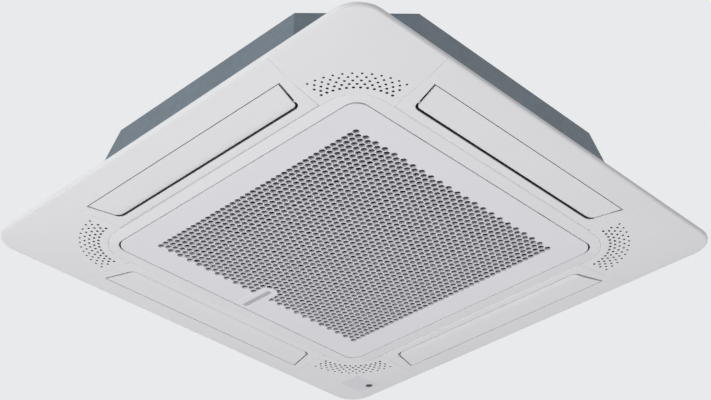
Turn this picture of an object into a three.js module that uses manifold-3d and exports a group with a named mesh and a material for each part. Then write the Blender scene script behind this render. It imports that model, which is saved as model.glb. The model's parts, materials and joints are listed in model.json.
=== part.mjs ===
// Four-way ceiling cassette air conditioner: a 950 mm square panel under an 840 mm casing.
// Millimetres, +Z up. z = 0 is the finished ceiling, x = y = 0 the middle of the unit.
// The panel hangs just below z = 0 and the casing stands in the ceiling void above it.
// +Y is the side the intake grille hinges on, -Y the side it opens at.

import * as THREE from 'three';
import { mergeVertices } from 'three/addons/utils/BufferGeometryUtils.js';
import Module from 'manifold-3d';

const wasm = await Module();
wasm.setup();

// ---------------------------------------------------------------- driving sizes, from the fan outwards
const seat = 0.3;                  // clearance between pieces that rest on or in each other
const sheet = 1.5;                 // steel sheet of the casing and its brackets

const fanRadius = 225;             // turbo fan, outside
const fanEyeRadius = 171;          // turbo fan, inlet ring
const fanHeight = 86;              // from the inlet ring's edge to the hub plate
const shroudHeight = 30;           // of that, the flared inlet shroud
const fanWall = 2.5;               // plate of the hub and shroud
const bladeCount = 7;
const bladeThickness = 5;          // at the thickest
const bladeInnerRadius = 132;      // leading edge at the shroud
const bladeSweep = 46;             // degrees that a blade leans back from the eye to the rim
const bladeTwist = 7;              // degrees that its top end leads its bottom end
const hubDomeRadius = 76;          // the hub's dome round the motor
const hubDomeDepth = 45;           // from the hub plate down to the dome's floor
const shaftRadius = 6;
const shaftLength = 62;

const motorRadius = 62;
const motorHeight = 45;
const motorEarRadius = 74;
const bushRadius = 8;              // rubber bush under each motor ear
const bushHeight = 12;

const bellThroatRadius = 165;      // bell mouth, narrowest
const bellMouthRadius = 190;       // bell mouth, at its plate
const bellDepth = 30;              // from its plate to its lip
const bellOverlap = 4;             // how far the lip stands inside the fan's inlet ring
const bellWall = 2;

const fanToCoil = 52;              // air gap round the fan
const coilDepth = 44;
const coilHeight = 133;
const coilCorner = 96;             // bend radius of the coil's outside corners
const coilGapX = 190;              // the coil ends at this x on the front leg
const coilGapY = 200;              // and at this y on the left leg
const coilPlate = 1.5;             // end plates
const coilTubeRadius = 4;
const returnBendReach = 16;        // how far the return bends stand out of their plate
const feederRadius = 3;
const finStep = 47;                // spacing of the fin blocks drawn on the coil
const finGroove = 2;               // depth of the groove between them

const troughMargin = 7;            // free width of the water trough beside the coil
const troughCorner = 24;           // squarer than the coil's, which leaves room for the pump
const troughDepth = 21.5;
const panHeight = 38;
const panInnerWall = 20;           // between the trough and an outlet
const panSlotWidth = 50;           // air outlet through the pan
const panSlotHalfLength = 222;
const panEdge = 20.2;              // outside the outlets
const panLip = 6;                  // wall inside the trough
const bellPlateLap = 14;           // how far the bell mouth plate reaches under the pan's lip
const bellPlateRecess = 24.2;      // height of the bell mouth plate above the pan's underside

const sealHeight = 2;              // between the ceiling line and the casing's bottom edge
const casingDraft = 0.241;         // the casing walls lean in by this much for each mm of height
const casingCut = 147;             // length of the casing's cut-off corners along each side
const casingFlange = 12;           // bottom edge folded inwards
const linerWall = 14;              // foam lining
const linerRoof = 12.3;
const beadHeight = 3;              // pressed ribs on the top plate
const beadWidth = 16;

const hangerPitchX = 780;          // threaded rods that hang the unit
const hangerPitchY = 680;
const hangerSlot = 12;
const hangerWidth = 56;
const hangerShelfZ = 46;
const hangerHeight = 42;
const hangerBend = 5;               // outside radius of the bracket's bend, drawn as a chamfer

const outletStepIn = 11;           // the panel's outlets open outwards from those of the pan
const outletFlare = 25;
const outletInnerHalfLength = 235;
const outletOuterHalfLength = 249.5;
const outletCorner = 15;
const innerBand = 45.5;            // panel between the grille opening and an outlet
const rimBand = 52;                // panel outside the outlets
const panelCorner = 50;
const rimHeight = 8;
const rimRound = 5;
const faceDropOuter = 14.5;        // how far the face lies below the ceiling at the outlets' outer edge
const faceDropInner = 17.3;        // at their inner edge
const faceDropStep = 18.2;         // at the fine step round the grille
const faceDropOpening = 19;        // and at the grille
const stepBand = 26.5;             // from the grille opening to that step
const stepCorner = 68;
const skin = 2.5;                  // moulded wall of the panel
const ribStep = 90;                // stiffening ribs on the panel's back
const coverSkin = 3;
const coverSeamInner = 256;        // corner cover seam, along the side, at the step
const coverSeamOuter = 276;        // and at the panel's edge
const accessRadius = 34;           // hole above each corner cover, for the hanging nut

const louverGap = 4;               // at the louver's inner edge and ends
const louverEdgeGap = 1.5;         // at its outer edge
const louverThickness = 2.6;
const louverPivotIn = 9;           // pivot, from the louver's inner edge
const louverPivotDrop = 11;        // pivot, below the ceiling
const louverPin = 2.5;
const bearingWall = 5.5;
const vaneMotorRadius = 8.5;
const vaneMotorLength = 16;
const vaneMotorOffset = 5.5;       // its shaft lies this far below its centre

const grilleGap = 1.1;
const grilleCorner = 28;
const openingCorner = 25;           // tighter than the grille's corner, which swings up past it
const plateThickness = 1.5;
const plateRim = 8;                // height of the grille plate's folded edge
const holeAcross = 37;             // hexagonal holes, across their flats
const holePitchY = 51;
const holePitchX = 45.7;
const holeMargin = 5;              // hole field, inside the filter's edge
const tongueWidth = 38;            // plain tongue that runs into the holes on the opening side
const tongueTip = 217;
const tongueRaise = 0.6;
const inlayWidth = 10;
const inlayStart = 229;
const inlayEnd = 302;
const frameBase = 4.2;             // moulded frame behind the grille plate
const frameWallHeight = 9;
const filterHalf = 256;
const filterBack = 230;            // the filter stops short here to clear the latches
const filterHeight = 4;
const filterEdge = 9;
const ribHeight = 2.5;              // ribs that carry the net
const cellCount = 5;                // cells of the filter and of the frame behind it, each way
const meshThickness = 0.8;
const hingeX = 165;
const hingeInset = 12.4;           // hinge axis, in from the grille's edge
const hingeRise = 3.5;             // hinge axis, above the grille's face
const hingePin = 1.5;
const latchX = 168;
const latchY = 248;
const latchTravel = 6;

const gasPipeRadius = 8;           // 5/8 inch copper
const liquidPipeRadius = 4.8;      // 3/8 inch copper
const gasPipeZ = 122;
const liquidPipeZ = 78;
const pipeReach = 62;              // how far the pipes stand out of the casing
const spigotRadius = 16;           // drain connection
const spigotBore = 12.5;
const spigotReach = 55;
const spigotX = 228;
const spigotZ = 128;
const glandRadius = 9;
const glandY = 90;
const glandZ = 96;

const pumpX = 240;
const pumpRadius = 25;
const pumpInletRadius = 12;
const pumpBodyHeight = 62;
const impellerRadius = 8.5;
const floatX = 294;
const floatRadius = 11;
const floatHeight = 16;
const floatStemHeight = 48;
const floatStem = 3;
const floatTravel = 12;

const boxGap = 4;                  // control box, from the bell mouth and from the pan
const boxHalfLength = 130;
const boxHeight = 25;
const boxWall = 1.2;
const terminalPitch = 10;
const lensRadius = 7;
const lensX = 426;
const lensY = 376;

const roundSteps = 6;              // facets in a quarter turn of a panel corner
const latheSides = 30;

// ---------------------------------------------------------------- sizes worked out from those above
const coilInner = fanRadius + fanToCoil;
const coilOuter = coilInner + coilDepth;
const troughInner = coilInner - troughMargin;
const troughOuter = coilOuter + troughMargin;
const panOpening = troughInner - panLip - bellPlateLap;
const panSlotInner = troughOuter + panInnerWall;
const panSlotOuter = panSlotInner + panSlotWidth;
const casingHalf = panSlotOuter + panEdge + seat + sheet;
const outletInner = panSlotInner + outletStepIn;
const outletOuter = panSlotOuter + outletFlare;
const openingHalf = outletInner - innerBand;
const grilleHalf = openingHalf - grilleGap;
const stepHalf = openingHalf + stepBand;
const panelHalf = outletOuter + rimBand;

const panBottom = sealHeight + sheet + seat;
const panTop = panBottom + panHeight;
const troughFloor = panTop - troughDepth;
const coilBottom = troughFloor + seat;
const coilTop = coilBottom + coilHeight;
const roofUnder = coilTop + seat;
const casingTop = roofUnder + linerRoof + seat;
const topPlateZ = casingTop + sheet;

const bellPlateZ = panBottom + bellPlateRecess;
const boxInnerX = bellMouthRadius + boxGap;
const boxOuterX = panOpening - boxGap;
const bellLipZ = bellPlateZ + bellDepth;
const fanBottom = bellLipZ - bellOverlap;
const fanTop = fanBottom + fanHeight;
const motorTop = casingTop - bushHeight - 2 * seat;
const motorBottom = motorTop - motorHeight;
const hubFloor = fanTop - hubDomeDepth;

const frameBottom = -faceDropOpening + plateThickness + seat;
const frameTop = frameBottom + frameBase;
const filterSeat = frameTop - 1;
const hingeY = grilleHalf - hingeInset;
const hingeZ = -faceDropOpening + hingeRise;
const pivotX = outletInner + louverGap + louverPivotIn;
const pivotZ = -louverPivotDrop;

const along = (a, b, t) => a + (b - a) * t;
const radians = THREE.MathUtils.degToRad;

// half width of the casing's outside at height z
function casingHalfAt(z) {
  return casingHalf - casingDraft * (z - sealHeight);
}

// ---------------------------------------------------------------- shapes
function solidOf(geometry) {
  const bare = geometry.clone();
  bare.deleteAttribute('normal');
  bare.deleteAttribute('uv');
  const merged = mergeVertices(bare, 1e-4);
  const corners = merged.index.array;
  const triVerts = [];
  for (let i = 0; i < corners.length; i += 3) {
    const [a, b, c] = [corners[i], corners[i + 1], corners[i + 2]];
    if (a !== b && b !== c && c !== a) triVerts.push(a, b, c);
  }
  return new wasm.Manifold(new wasm.Mesh({
    numProp: 3,
    vertProperties: Float32Array.from(merged.attributes.position.array),
    triVerts: Uint32Array.from(triVerts),
  }));
}

function geometryOf(solid) {
  const mesh = solid.getMesh();
  const geometry = new THREE.BufferGeometry();
  geometry.setAttribute('position', new THREE.BufferAttribute(mesh.vertProperties, 3));
  geometry.setIndex(new THREE.BufferAttribute(mesh.triVerts, 1));
  return geometry;
}

function join(...solids) {
  return solids.reduce((whole, solid) => whole.add(solid));
}

function cut(solid, ...tools) {
  return tools.reduce((rest, tool) => rest.subtract(tool), solid);
}

function block(x0, x1, y0, y1, z0, z1) {
  const geometry = new THREE.BoxGeometry(x1 - x0, y1 - y0, z1 - z0);
  geometry.translate((x0 + x1) / 2, (y0 + y1) / 2, (z0 + z1) / 2);
  return solidOf(geometry);
}

// straight round bar from one point to another
function rod(radius, from, to, sides = 16) {
  const start = new THREE.Vector3(...from);
  const run = new THREE.Vector3(...to).sub(start);
  const geometry = new THREE.CylinderGeometry(radius, radius, run.length(), sides);
  const turn = new THREE.Quaternion().setFromUnitVectors(
    new THREE.Vector3(0, 1, 0), run.clone().normalize());
  geometry.applyQuaternion(turn);
  const middle = start.addScaledVector(run, 0.5);
  geometry.translate(middle.x, middle.y, middle.z);
  return solidOf(geometry);
}

// outline in the plane z = 0, drawn up from z0 to z1
function prism(outline, z0, z1, holes = []) {
  const shape = new THREE.Shape(outline);
  shape.holes = holes.map((hole) => new THREE.Path(hole));
  const geometry = new THREE.ExtrudeGeometry(shape, { depth: z1 - z0, bevelEnabled: false });
  geometry.translate(0, 0, z0);
  return solidOf(geometry);
}

// outline in the x-z plane, drawn along y from y0 to y1
function bar(outline, y0, y1) {
  const shape = new THREE.Shape(outline.map(([x, z]) => new THREE.Vector2(x, z)));
  const geometry = new THREE.ExtrudeGeometry(shape, { depth: y1 - y0, bevelEnabled: false });
  geometry.rotateX(Math.PI / 2);
  geometry.translate(0, y1, 0);
  return solidOf(geometry);
}

// closed profile of [radius, z] pairs turned about the z axis, in either direction
function turned(profile, sides = latheSides) {
  const points = profile.map(([radius, z]) => new THREE.Vector2(radius, z));
  if (THREE.ShapeUtils.area(points) < 0) points.reverse();
  const geometry = new THREE.LatheGeometry(points, sides);
  geometry.rotateX(Math.PI / 2);
  return solidOf(geometry);
}

// tube of one radius along a smooth curve through the points
function tube(radius, points, steps, sides = 12) {
  const path = new THREE.CatmullRomCurve3(points.map((p) => new THREE.Vector3(...p)));
  const circle = Array.from({ length: sides }, (_, i) => {
    const turn = 2 * Math.PI * i / sides;
    return new THREE.Vector2(radius * Math.cos(turn), radius * Math.sin(turn));
  });
  return solidOf(new THREE.ExtrudeGeometry(new THREE.Shape(circle), { steps, extrudePath: path }));
}

// skin through outlines of equal count, each [points, z]; the last joins the first if closed
function loft(sections, closed = false) {
  const count = sections[0][0].length;
  const positions = sections.flatMap(([outline, z]) => outline.flatMap((p) => [p.x, p.y, z]));
  const index = [];
  const bands = closed ? sections.length : sections.length - 1;
  for (let i = 0; i < bands; i += 1) {
    const low = i * count;
    const high = ((i + 1) % sections.length) * count;
    for (let j = 0; j < count; j += 1) {
      const k = (j + 1) % count;
      index.push(low + j, low + k, high + k, low + j, high + k, high + j);
    }
  }
  if (!closed) {
    const top = (sections.length - 1) * count;
    for (const [a, b, c] of THREE.ShapeUtils.triangulateShape(sections[0][0], [])) {
      index.push(c, b, a);
    }
    for (const [a, b, c] of THREE.ShapeUtils.triangulateShape(sections.at(-1)[0], [])) {
      index.push(top + a, top + b, top + c);
    }
  }
  const geometry = new THREE.BufferGeometry();
  geometry.setAttribute('position', new THREE.Float32BufferAttribute(positions, 3));
  geometry.setIndex(index);
  return solidOf(geometry);
}

// ---------------------------------------------------------------- outlines, anticlockwise
function roundedBox(x0, x1, y0, y1, radius, steps = roundSteps) {
  const centres = [[x1 - radius, y1 - radius], [x0 + radius, y1 - radius],
    [x0 + radius, y0 + radius], [x1 - radius, y0 + radius]];
  return centres.flatMap(([cx, cy], corner) => Array.from({ length: steps + 1 }, (_, i) => {
    const turn = (corner + i / steps) * Math.PI / 2;
    return new THREE.Vector2(cx + radius * Math.cos(turn), cy + radius * Math.sin(turn));
  }));
}

function roundedSquare(half, radius, steps = roundSteps) {
  return roundedBox(-half, half, -half, half, radius, steps);
}

function circle(x, y, radius, sides = 24) {
  return Array.from({ length: sides }, (_, i) => {
    const turn = 2 * Math.PI * i / sides;
    return new THREE.Vector2(x + radius * Math.cos(turn), y + radius * Math.sin(turn));
  });
}

// square with its corners cut off
function octagon(half, leg) {
  const flat = half - leg;
  return [[half, -flat], [half, flat], [flat, half], [-flat, half],
    [-half, flat], [-half, -flat], [-flat, -half], [flat, -half]]
    .map(([x, y]) => new THREE.Vector2(x, y));
}

// one outlet on the +X side: a trapezoid with round corners on its inner edge
function outletOutline(inner, outer, innerHalf, outerHalf, radius) {
  const points = [new THREE.Vector2(outer, -outerHalf), new THREE.Vector2(outer, outerHalf)];
  const centre = new THREE.Vector2(inner + radius, innerHalf - radius);
  for (let i = 0; i <= roundSteps; i += 1) {
    const turn = Math.PI / 2 * (1 + i / roundSteps);
    points.push(new THREE.Vector2(centre.x + radius * Math.cos(turn), centre.y + radius * Math.sin(turn)));
  }
  for (let i = 0; i <= roundSteps; i += 1) {
    const turn = Math.PI / 2 * (2 + i / roundSteps);
    points.push(new THREE.Vector2(centre.x + radius * Math.cos(turn), -centre.y + radius * Math.sin(turn)));
  }
  return points;
}

// ---------------------------------------------------------------- casing
function octagonFrustum(z0, z1, inset) {
  const leg = casingCut;
  return loft([[octagon(casingHalfAt(z0) - inset, leg), z0], [octagon(casingHalfAt(z1) - inset, leg), z1]]);
}

function wallOpenings() {
  const far = casingHalf + pipeReach;
  const clear = 2 * seat;
  return [
    rod(gasPipeRadius + clear, [-coilOuter, -pipeY(), gasPipeZ], [-far, -pipeY(), gasPipeZ]),
    rod(liquidPipeRadius + clear, [-coilOuter, -pipeY(), liquidPipeZ], [-far, -pipeY(), liquidPipeZ]),
    rod(glandRadius + seat, [-coilOuter, glandY, glandZ], [-far, glandY, glandZ]),
    rod(spigotRadius + seat, [-spigotX, -coilOuter, spigotZ], [-spigotX, -far, spigotZ], 20),
  ];
}

function pipeY() {
  return coilGapY + coilPlate + 2 * gasPipeRadius;
}

function casingWrap() {
  const outside = octagonFrustum(sealHeight, casingTop, 0);
  const inside = octagonFrustum(sealHeight + sheet, casingTop + sheet, sheet);
  const mouth = octagonFrustum(sealHeight - sheet, sealHeight + 2 * sheet, sheet + casingFlange);
  return cut(outside, inside, mouth, ...wallOpenings());
}

function casingTopPlate() {
  const half = casingHalfAt(casingTop);
  const plate = prism(octagon(half, casingCut), casingTop + seat, topPlateZ);
  const ring = turned([[motorEarRadius + beadWidth, topPlateZ - sheet / 2],
    [motorEarRadius + 2 * beadWidth, topPlateZ - sheet / 2],
    [motorEarRadius + 1.7 * beadWidth, topPlateZ + beadHeight],
    [motorEarRadius + 1.3 * beadWidth, topPlateZ + beadHeight],
    [motorEarRadius + beadWidth, topPlateZ - sheet / 2]]);
  const spoke = bar([[motorEarRadius + 1.5 * beadWidth, topPlateZ - sheet / 2],
    [half - beadWidth, topPlateZ - sheet / 2],
    [half - 1.5 * beadWidth, topPlateZ + beadHeight],
    [motorEarRadius + 1.5 * beadWidth, topPlateZ + beadHeight]], -beadWidth / 2, beadWidth / 2);
  const spokes = [0, 90, 180, 270].map((turn) => spoke.rotate([0, 0, turn]));
  return join(plate, ring, ...spokes);
}

// foam lining of the walls, one moulded ring
function insulationLiner() {
  const outside = octagonFrustum(panTop + seat, roofUnder - seat, sheet + seat);
  const inside = octagonFrustum(panTop - linerRoof, roofUnder + linerRoof, sheet + seat + linerWall);
  return cut(outside, inside, ...wallOpenings());
}

// foam slab under the top plate, with a round hole over the motor
function insulationRoof() {
  const slab = octagonFrustum(roofUnder, casingTop - seat / 2, sheet + seat);
  const motorHole = prism(circle(0, 0, motorEarRadius + beadWidth, latheSides), roofUnder - 1, casingTop + 1);
  return cut(slab, motorHole);
}

// one hanging bracket, drawn at the corner of the first quadrant with the rod at its origin
function hangerBracket() {
  const rodAway = (hangerPitchX + hangerPitchY) / 2 / Math.SQRT2;
  const wallAt = (z) => (2 * casingHalfAt(z) - casingCut) / Math.SQRT2 + seat - rodAway;
  const [low, high] = [hangerShelfZ, hangerShelfZ + hangerHeight];
  const shelfEnd = 1.6 * hangerSlot;
  const side = bar([[wallAt(low + hangerBend), low + hangerBend], [wallAt(low) + hangerBend, low], [shelfEnd, low], [shelfEnd, low + 2 * sheet],
    [wallAt(low) + hangerBend + sheet, low + 2 * sheet], [wallAt(high) + 2 * sheet, high], [wallAt(high), high]],
    -hangerWidth / 2, hangerWidth / 2);
  const slot = join(
    rod(hangerSlot / 2, [0, 0, low - 1], [0, 0, low + 3 * sheet]),
    block(0, shelfEnd + 1, -hangerSlot / 2, hangerSlot / 2, low - 1, low + 3 * sheet));
  return cut(side, slot);
}

// ---------------------------------------------------------------- drain pan and coil
function drainPan() {
  const body = octagonFrustum(panBottom, panTop, sheet + seat);
  const opening = prism(roundedSquare(panOpening, 24, 4), panBottom - 1, panTop + 1);
  const recess = prism(roundedSquare(panOpening + bellPlateLap, 34, 4), panBottom - 1,
    bellPlateZ + bellWall + seat);
  const trough = prism(roundedSquare(troughOuter, troughCorner, 4), troughFloor, panTop + 1,
    [roundedSquare(troughInner, coilCorner - coilDepth - troughMargin, 4).reverse()]);
  const slot = prism(roundedBox(panSlotInner, panSlotOuter, -panSlotHalfLength, panSlotHalfLength, 12, 3),
    panBottom - 1, panTop + 1);
  const slots = [0, 90, 180, 270].map((turn) => slot.rotate([0, 0, turn]));
  const plugHole = rod(7, [-troughMiddle(), -troughMiddle(), panBottom - 1],
    [-troughMiddle(), -troughMiddle(), troughFloor + 1]);
  return cut(body, opening, recess, trough, plugHole, ...slots);
}

function troughMiddle() {
  return (troughInner + troughOuter) / 2;
}

function drainPlug() {
  const [x, y] = [-troughMiddle(), -troughMiddle()];
  return join(
    rod(7 - seat, [x, y, panBottom - 1], [x, y, troughFloor]),
    rod(10, [x, y, panBottom - seat - 2], [x, y, panBottom - seat]));
}

// finned ring, bent round three corners and open at the front left one, scored into fin blocks
function coilFinPack() {
  const ring = prism(roundedSquare(coilOuter, coilCorner), coilBottom, coilTop,
    [roundedSquare(coilInner, coilCorner - coilDepth).reverse()]);
  const grooves = [];
  const reach = finStep * Math.floor((coilOuter - coilCorner) / finStep);
  for (let at = -reach; at <= reach; at += finStep) {
    for (const turn of [0, 90, 180, 270]) {
      grooves.push(block(coilOuter - finGroove, coilOuter + 1, at - 1, at + 1, coilBottom - 1, coilTop + 1)
        .rotate([0, 0, turn]));
    }
  }
  const corner = block(-coilOuter - 1, -coilGapX, -coilOuter - 1, -coilGapY, coilBottom - 1, coilTop + 1);
  return cut(ring, corner, ...grooves);
}

// end plate of the front leg, with the return bends brazed into it
function coilReturnPlate() {
  const x = -coilGapX - seat;
  const plate = block(x - coilPlate, x, -coilOuter, -coilInner, coilBottom, coilTop);
  const middle = -(coilInner + coilOuter) / 2;
  const bends = [];
  for (let row = 0; row < 3; row += 1) {
    const z = coilBottom + coilHeight * (row + 0.5) / 3;
    const across = coilDepth / 4;
    bends.push(tube(coilTubeRadius, [[x - coilPlate / 2, middle - across, z],
      [x - returnBendReach * 0.7, middle - across, z], [x - returnBendReach, middle, z],
      [x - returnBendReach * 0.7, middle + across, z],
      [x - coilPlate / 2, middle + across, z]], 8, 6));
  }
  return join(plate, ...bends);
}

function coilHeaderPlate() {
  const y = -coilGapY - seat;
  return block(-coilOuter, -coilInner, y - coilPlate, y, coilBottom, coilTop);
}

// header with its feeder stubs, and the pipe that leaves through the left wall
function headerPipe(radius, x, pipeZ) {
  const low = pipeZ - 3 * radius;
  const high = pipeZ + 3 * radius;
  const y = -pipeY();
  const plateY = -coilGapY - 2 * seat - coilPlate;
  const end = -casingHalfAt(pipeZ) - pipeReach;
  const feeders = [];
  for (let i = 0; i < 3; i += 1) {
    const z = along(low, high, (i + 0.5) / 3);
    feeders.push(rod(feederRadius, [x, y, z], [x, plateY, z], 8));
  }
  return join(
    rod(radius, [x, y, low], [x, y, high], 14),
    rod(radius, [x, y, pipeZ], [end, y, pipeZ], 14),
    ...feeders);
}

function flareNut(radius, pipeZ) {
  const end = -casingHalfAt(pipeZ) - pipeReach;
  const y = -pipeY();
  const nut = join(
    rod(radius * 1.75, [end + 20, y, pipeZ], [end + 6, y, pipeZ], 6),
    rod(radius * 1.4, [end + 24, y, pipeZ], [end + 1, y, pipeZ], 12));
  return cut(nut, rod(radius + seat, [end + 30, y, pipeZ], [end - 5, y, pipeZ], 14));
}

// ---------------------------------------------------------------- fan and motor
function bellMouth() {
  const plate = prism(roundedSquare(troughInner - panLip - seat, 34 - seat, 4), bellPlateZ, bellPlateZ + bellWall,
    [circle(0, 0, bellMouthRadius, latheSides).reverse()]);
  const drop = bellMouthRadius - bellThroatRadius;
  const inner = [0, 30, 60, 90].map((turn) => [
    bellMouthRadius - drop * Math.sin(radians(turn)),
    bellPlateZ + (bellDepth - bellOverlap) * (1 - Math.cos(radians(turn)))]);
  const outer = inner.map(([radius, z]) => [radius + bellWall, z]).reverse();
  const flare = turned([...inner, [bellThroatRadius, bellLipZ], [bellThroatRadius + bellWall, bellLipZ],
    ...outer, inner[0]]);
  return join(plate, flare);
}

// shroud line: inlet ring, then a quarter curve out to the rim
function shroudLine() {
  const line = [[fanEyeRadius, fanBottom]];
  for (const turn of [0, 22.5, 45, 67.5, 90]) {
    line.push([along(fanEyeRadius, fanRadius, 1 - Math.cos(radians(turn))),
      fanBottom + shroudHeight * along(0.25, 1, Math.sin(radians(turn)))]);
  }
  return line;
}

// one blade: a thin curved section that leans back towards the rim and twists as it rises
function fanBlade() {
  const sections = [0, 0.5, 1].map((rise) => {
    const z = along(fanBottom - 1, fanTop + fanWall / 2, rise);
    const back = [];
    const front = [];
    for (let i = 0; i <= 6; i += 1) {
      const t = i / 6;
      const radius = along(bladeInnerRadius - 14 * rise, fanRadius + 3, t);
      const turn = radians(-bladeSweep * Math.pow(t, 1.25) + bladeTwist * rise);
      const half = bladeThickness / 2 * Math.sqrt(Math.sin(Math.PI * Math.min(0.98, 0.06 + t * 0.9)));
      const side = half / radius;
      back.push(new THREE.Vector2(radius * Math.cos(turn - side), radius * Math.sin(turn - side)));
      front.push(new THREE.Vector2(radius * Math.cos(turn + side), radius * Math.sin(turn + side)));
    }
    return [[...back, ...front.reverse()], z];
  });
  return loft(sections);
}

function turboFan() {
  const line = shroudLine();
  const shroud = turned([...line, ...line.map(([r, z]) => [r, z + fanWall]).reverse()
    .map(([r, z], i, all) => (i === all.length - 1 ? [r + fanWall, fanBottom] : [r, z])), line[0]]);
  const dome = [[fanRadius, fanTop], [hubDomeRadius + 22, fanTop], [hubDomeRadius + 6, fanTop - 8],
    [hubDomeRadius, hubFloor + 14], [hubDomeRadius - 14, hubFloor], [3 * shaftRadius, hubFloor],
    [3 * shaftRadius, hubFloor - 8], [0, hubFloor - 8]];
  const above = [[0, hubFloor + fanWall + 6], [3 * shaftRadius, hubFloor + fanWall + 6],
    [3 * shaftRadius, hubFloor + fanWall], [hubDomeRadius - 14 - fanWall, hubFloor + fanWall],
    [hubDomeRadius - fanWall, hubFloor + 14 + fanWall], [hubDomeRadius + 6 - fanWall, fanTop - 8 + fanWall],
    [hubDomeRadius + 20, fanTop + fanWall], [fanRadius, fanTop + fanWall]];
  const hub = turned([...above, ...dome]);
  const bladeFoot = bellLipZ + 2.5 * bellWall;
  const between = turned([[0, bladeFoot], [fanEyeRadius + 1, bladeFoot], ...line.slice(2)
    .map(([r, z]) => [r, z + fanWall / 2]), [fanRadius, fanTop + fanWall / 2], [0, fanTop + fanWall / 2]]);
  const blade = fanBlade().intersect(between);
  const blades = Array.from({ length: bladeCount }, (_, i) => blade.rotate([0, 0, 360 * i / bladeCount]));
  const bore = rod(shaftRadius + seat, [0, 0, hubFloor - 20], [0, 0, hubFloor + 20]);
  return cut(join(hub, shroud, ...blades), bore);
}

function fanNut() {
  const top = hubFloor - 8 - seat;
  const nut = rod(2 * shaftRadius, [0, 0, top - 8], [0, 0, top], 6);
  return cut(nut, rod(shaftRadius + seat, [0, 0, top - 20], [0, 0, top + 10]));
}

function motorShaft() {
  const top = motorBottom + shaftLength / 2;
  return rod(shaftRadius, [0, 0, top - shaftLength], [0, 0, top], 20);
}

function fanMotor() {
  const r = motorRadius;
  const body = turned([[0, motorBottom - 3], [0.35 * r, motorBottom - 3], [0.38 * r, motorBottom],
    [0.86 * r, motorBottom], [r, motorBottom + 7], [r, motorTop - 9], [0.9 * r, motorTop - 3],
    [0.4 * r, motorTop - 3], [0, motorTop - 3]]);
  const ear = join(block(0, motorEarRadius - bushRadius, -10, 10, motorTop - 6, motorTop),
    rod(10, [motorEarRadius - bushRadius, 0, motorTop - 6], [motorEarRadius - bushRadius, 0, motorTop]));
  const ears = [90, 210, 330].map((turn) => ear.rotate([0, 0, turn]));
  const bore = rod(shaftRadius + seat, [0, 0, motorBottom - 5], [0, 0, motorBottom + shaftLength / 2 + seat]);
  return cut(join(body, ...ears), bore);
}

function motorBush() {
  const z = motorTop + seat;
  return turned([[0, z], [bushRadius, z], [bushRadius, z + bushHeight * 0.35],
    [bushRadius * 0.7, z + bushHeight / 2], [bushRadius, z + bushHeight * 0.65], [bushRadius, z + bushHeight],
    [0, z + bushHeight]], 10).translate([motorEarRadius - bushRadius, 0, 0]);
}

// ---------------------------------------------------------------- controls, pump and drain
function controlBox() {
  const [x0, x1] = [boxInnerX, boxOuterX];
  const top = bellPlateZ - seat;
  const shell = block(x0, x1, -boxHalfLength, boxHalfLength, top - boxHeight, top);
  const inside = block(x0 + boxWall, x1 - boxWall, -boxHalfLength + boxWall, boxHalfLength - boxWall,
    top - boxHeight - 1, top - boxWall);
  return cut(shell, inside);
}

function controlBoxLid() {
  const [x0, x1] = [boxInnerX, boxOuterX];
  const top = bellPlateZ - 2 * seat - boxHeight;
  return block(x0 - 1, x1 + 1, -boxHalfLength - 1, boxHalfLength + 1, top - boxWall, top);
}

function controlBoard() {
  const x0 = boxInnerX + boxWall + seat;
  const x1 = boxOuterX - boxWall - seat;
  const top = bellPlateZ - 2 * seat - boxWall;
  const board = block(x0, x1, -0.85 * boxHalfLength, 0.85 * boxHalfLength, top - 1.6, top);
  // a capacitor, a relay and a transformer, as shares of the board's width and length
  const parts = [[0.3, -0.46, 18, 0.28, 0.12], [0.65, -0.08, 12, 0.32, 0.1], [0.35, 0.35, 15, 0.24, 0.15]]
    .map(([across, down, height, width, length]) => {
      const x = along(x0, x1, across);
      const y = down * boxHalfLength;
      const [halfWidth, halfLength] = [(x1 - x0) * width / 2, boxHalfLength * length];
      return block(x - halfWidth, x + halfWidth, y - halfLength, y + halfLength, top - 1 - height, top - 1);
    });
  return join(board, ...parts);
}

function terminalBlock() {
  const x0 = boxInnerX + 2 * boxGap;
  const x1 = boxOuterX - 2 * boxGap;
  const y0 = boxHalfLength + boxGap;
  const top = bellPlateZ - seat;
  const wells = [0, 1, 2, 3].map((i) => {
    const start = y0 + terminalPitch * (i + 0.4);
    return block(x0 + boxGap, x1 - boxGap, start, start + 0.6 * terminalPitch, top - 21, top - 12);
  });
  return cut(block(x0, x1, y0, y0 + 4.4 * terminalPitch, top - 20, top), ...wells);
}

// shelf that reaches from the pump or the float switch to the lining of the front wall
function wallBracket(x0, x1, y, z) {
  const room = octagonFrustum(panTop + 1, casingTop, sheet + linerWall + 3 * seat);
  return block(x0, x1, -casingHalf, y + 8, z, z + 2.5).intersect(room);
}

function drainPump() {
  const [x, y] = [-pumpX, -troughMiddle()];
  const inletTop = troughFloor + 42;
  const bodyTop = inletTop + pumpBodyHeight;
  const body = join(
    rod(pumpInletRadius, [x, y, troughFloor + 2], [x, y, inletTop + 1], 20),
    rod(pumpRadius, [x, y, inletTop], [x, y, bodyTop], 20),
    rod(8, [x, y, spigotZ - 14], [x, y - pumpRadius - 10, spigotZ - 14], 14),
    wallBracket(x - 16, x + 16, y, inletTop + 20));
  const inlet = rod(pumpInletRadius - 2, [x, y, troughFloor + 1], [x, y, troughFloor + 22], 20);
  const shaftHole = rod(2.8, [x, y, troughFloor + 20], [x, y, troughFloor + 31], 12);
  return cut(body, inlet, shaftHole);
}

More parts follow.
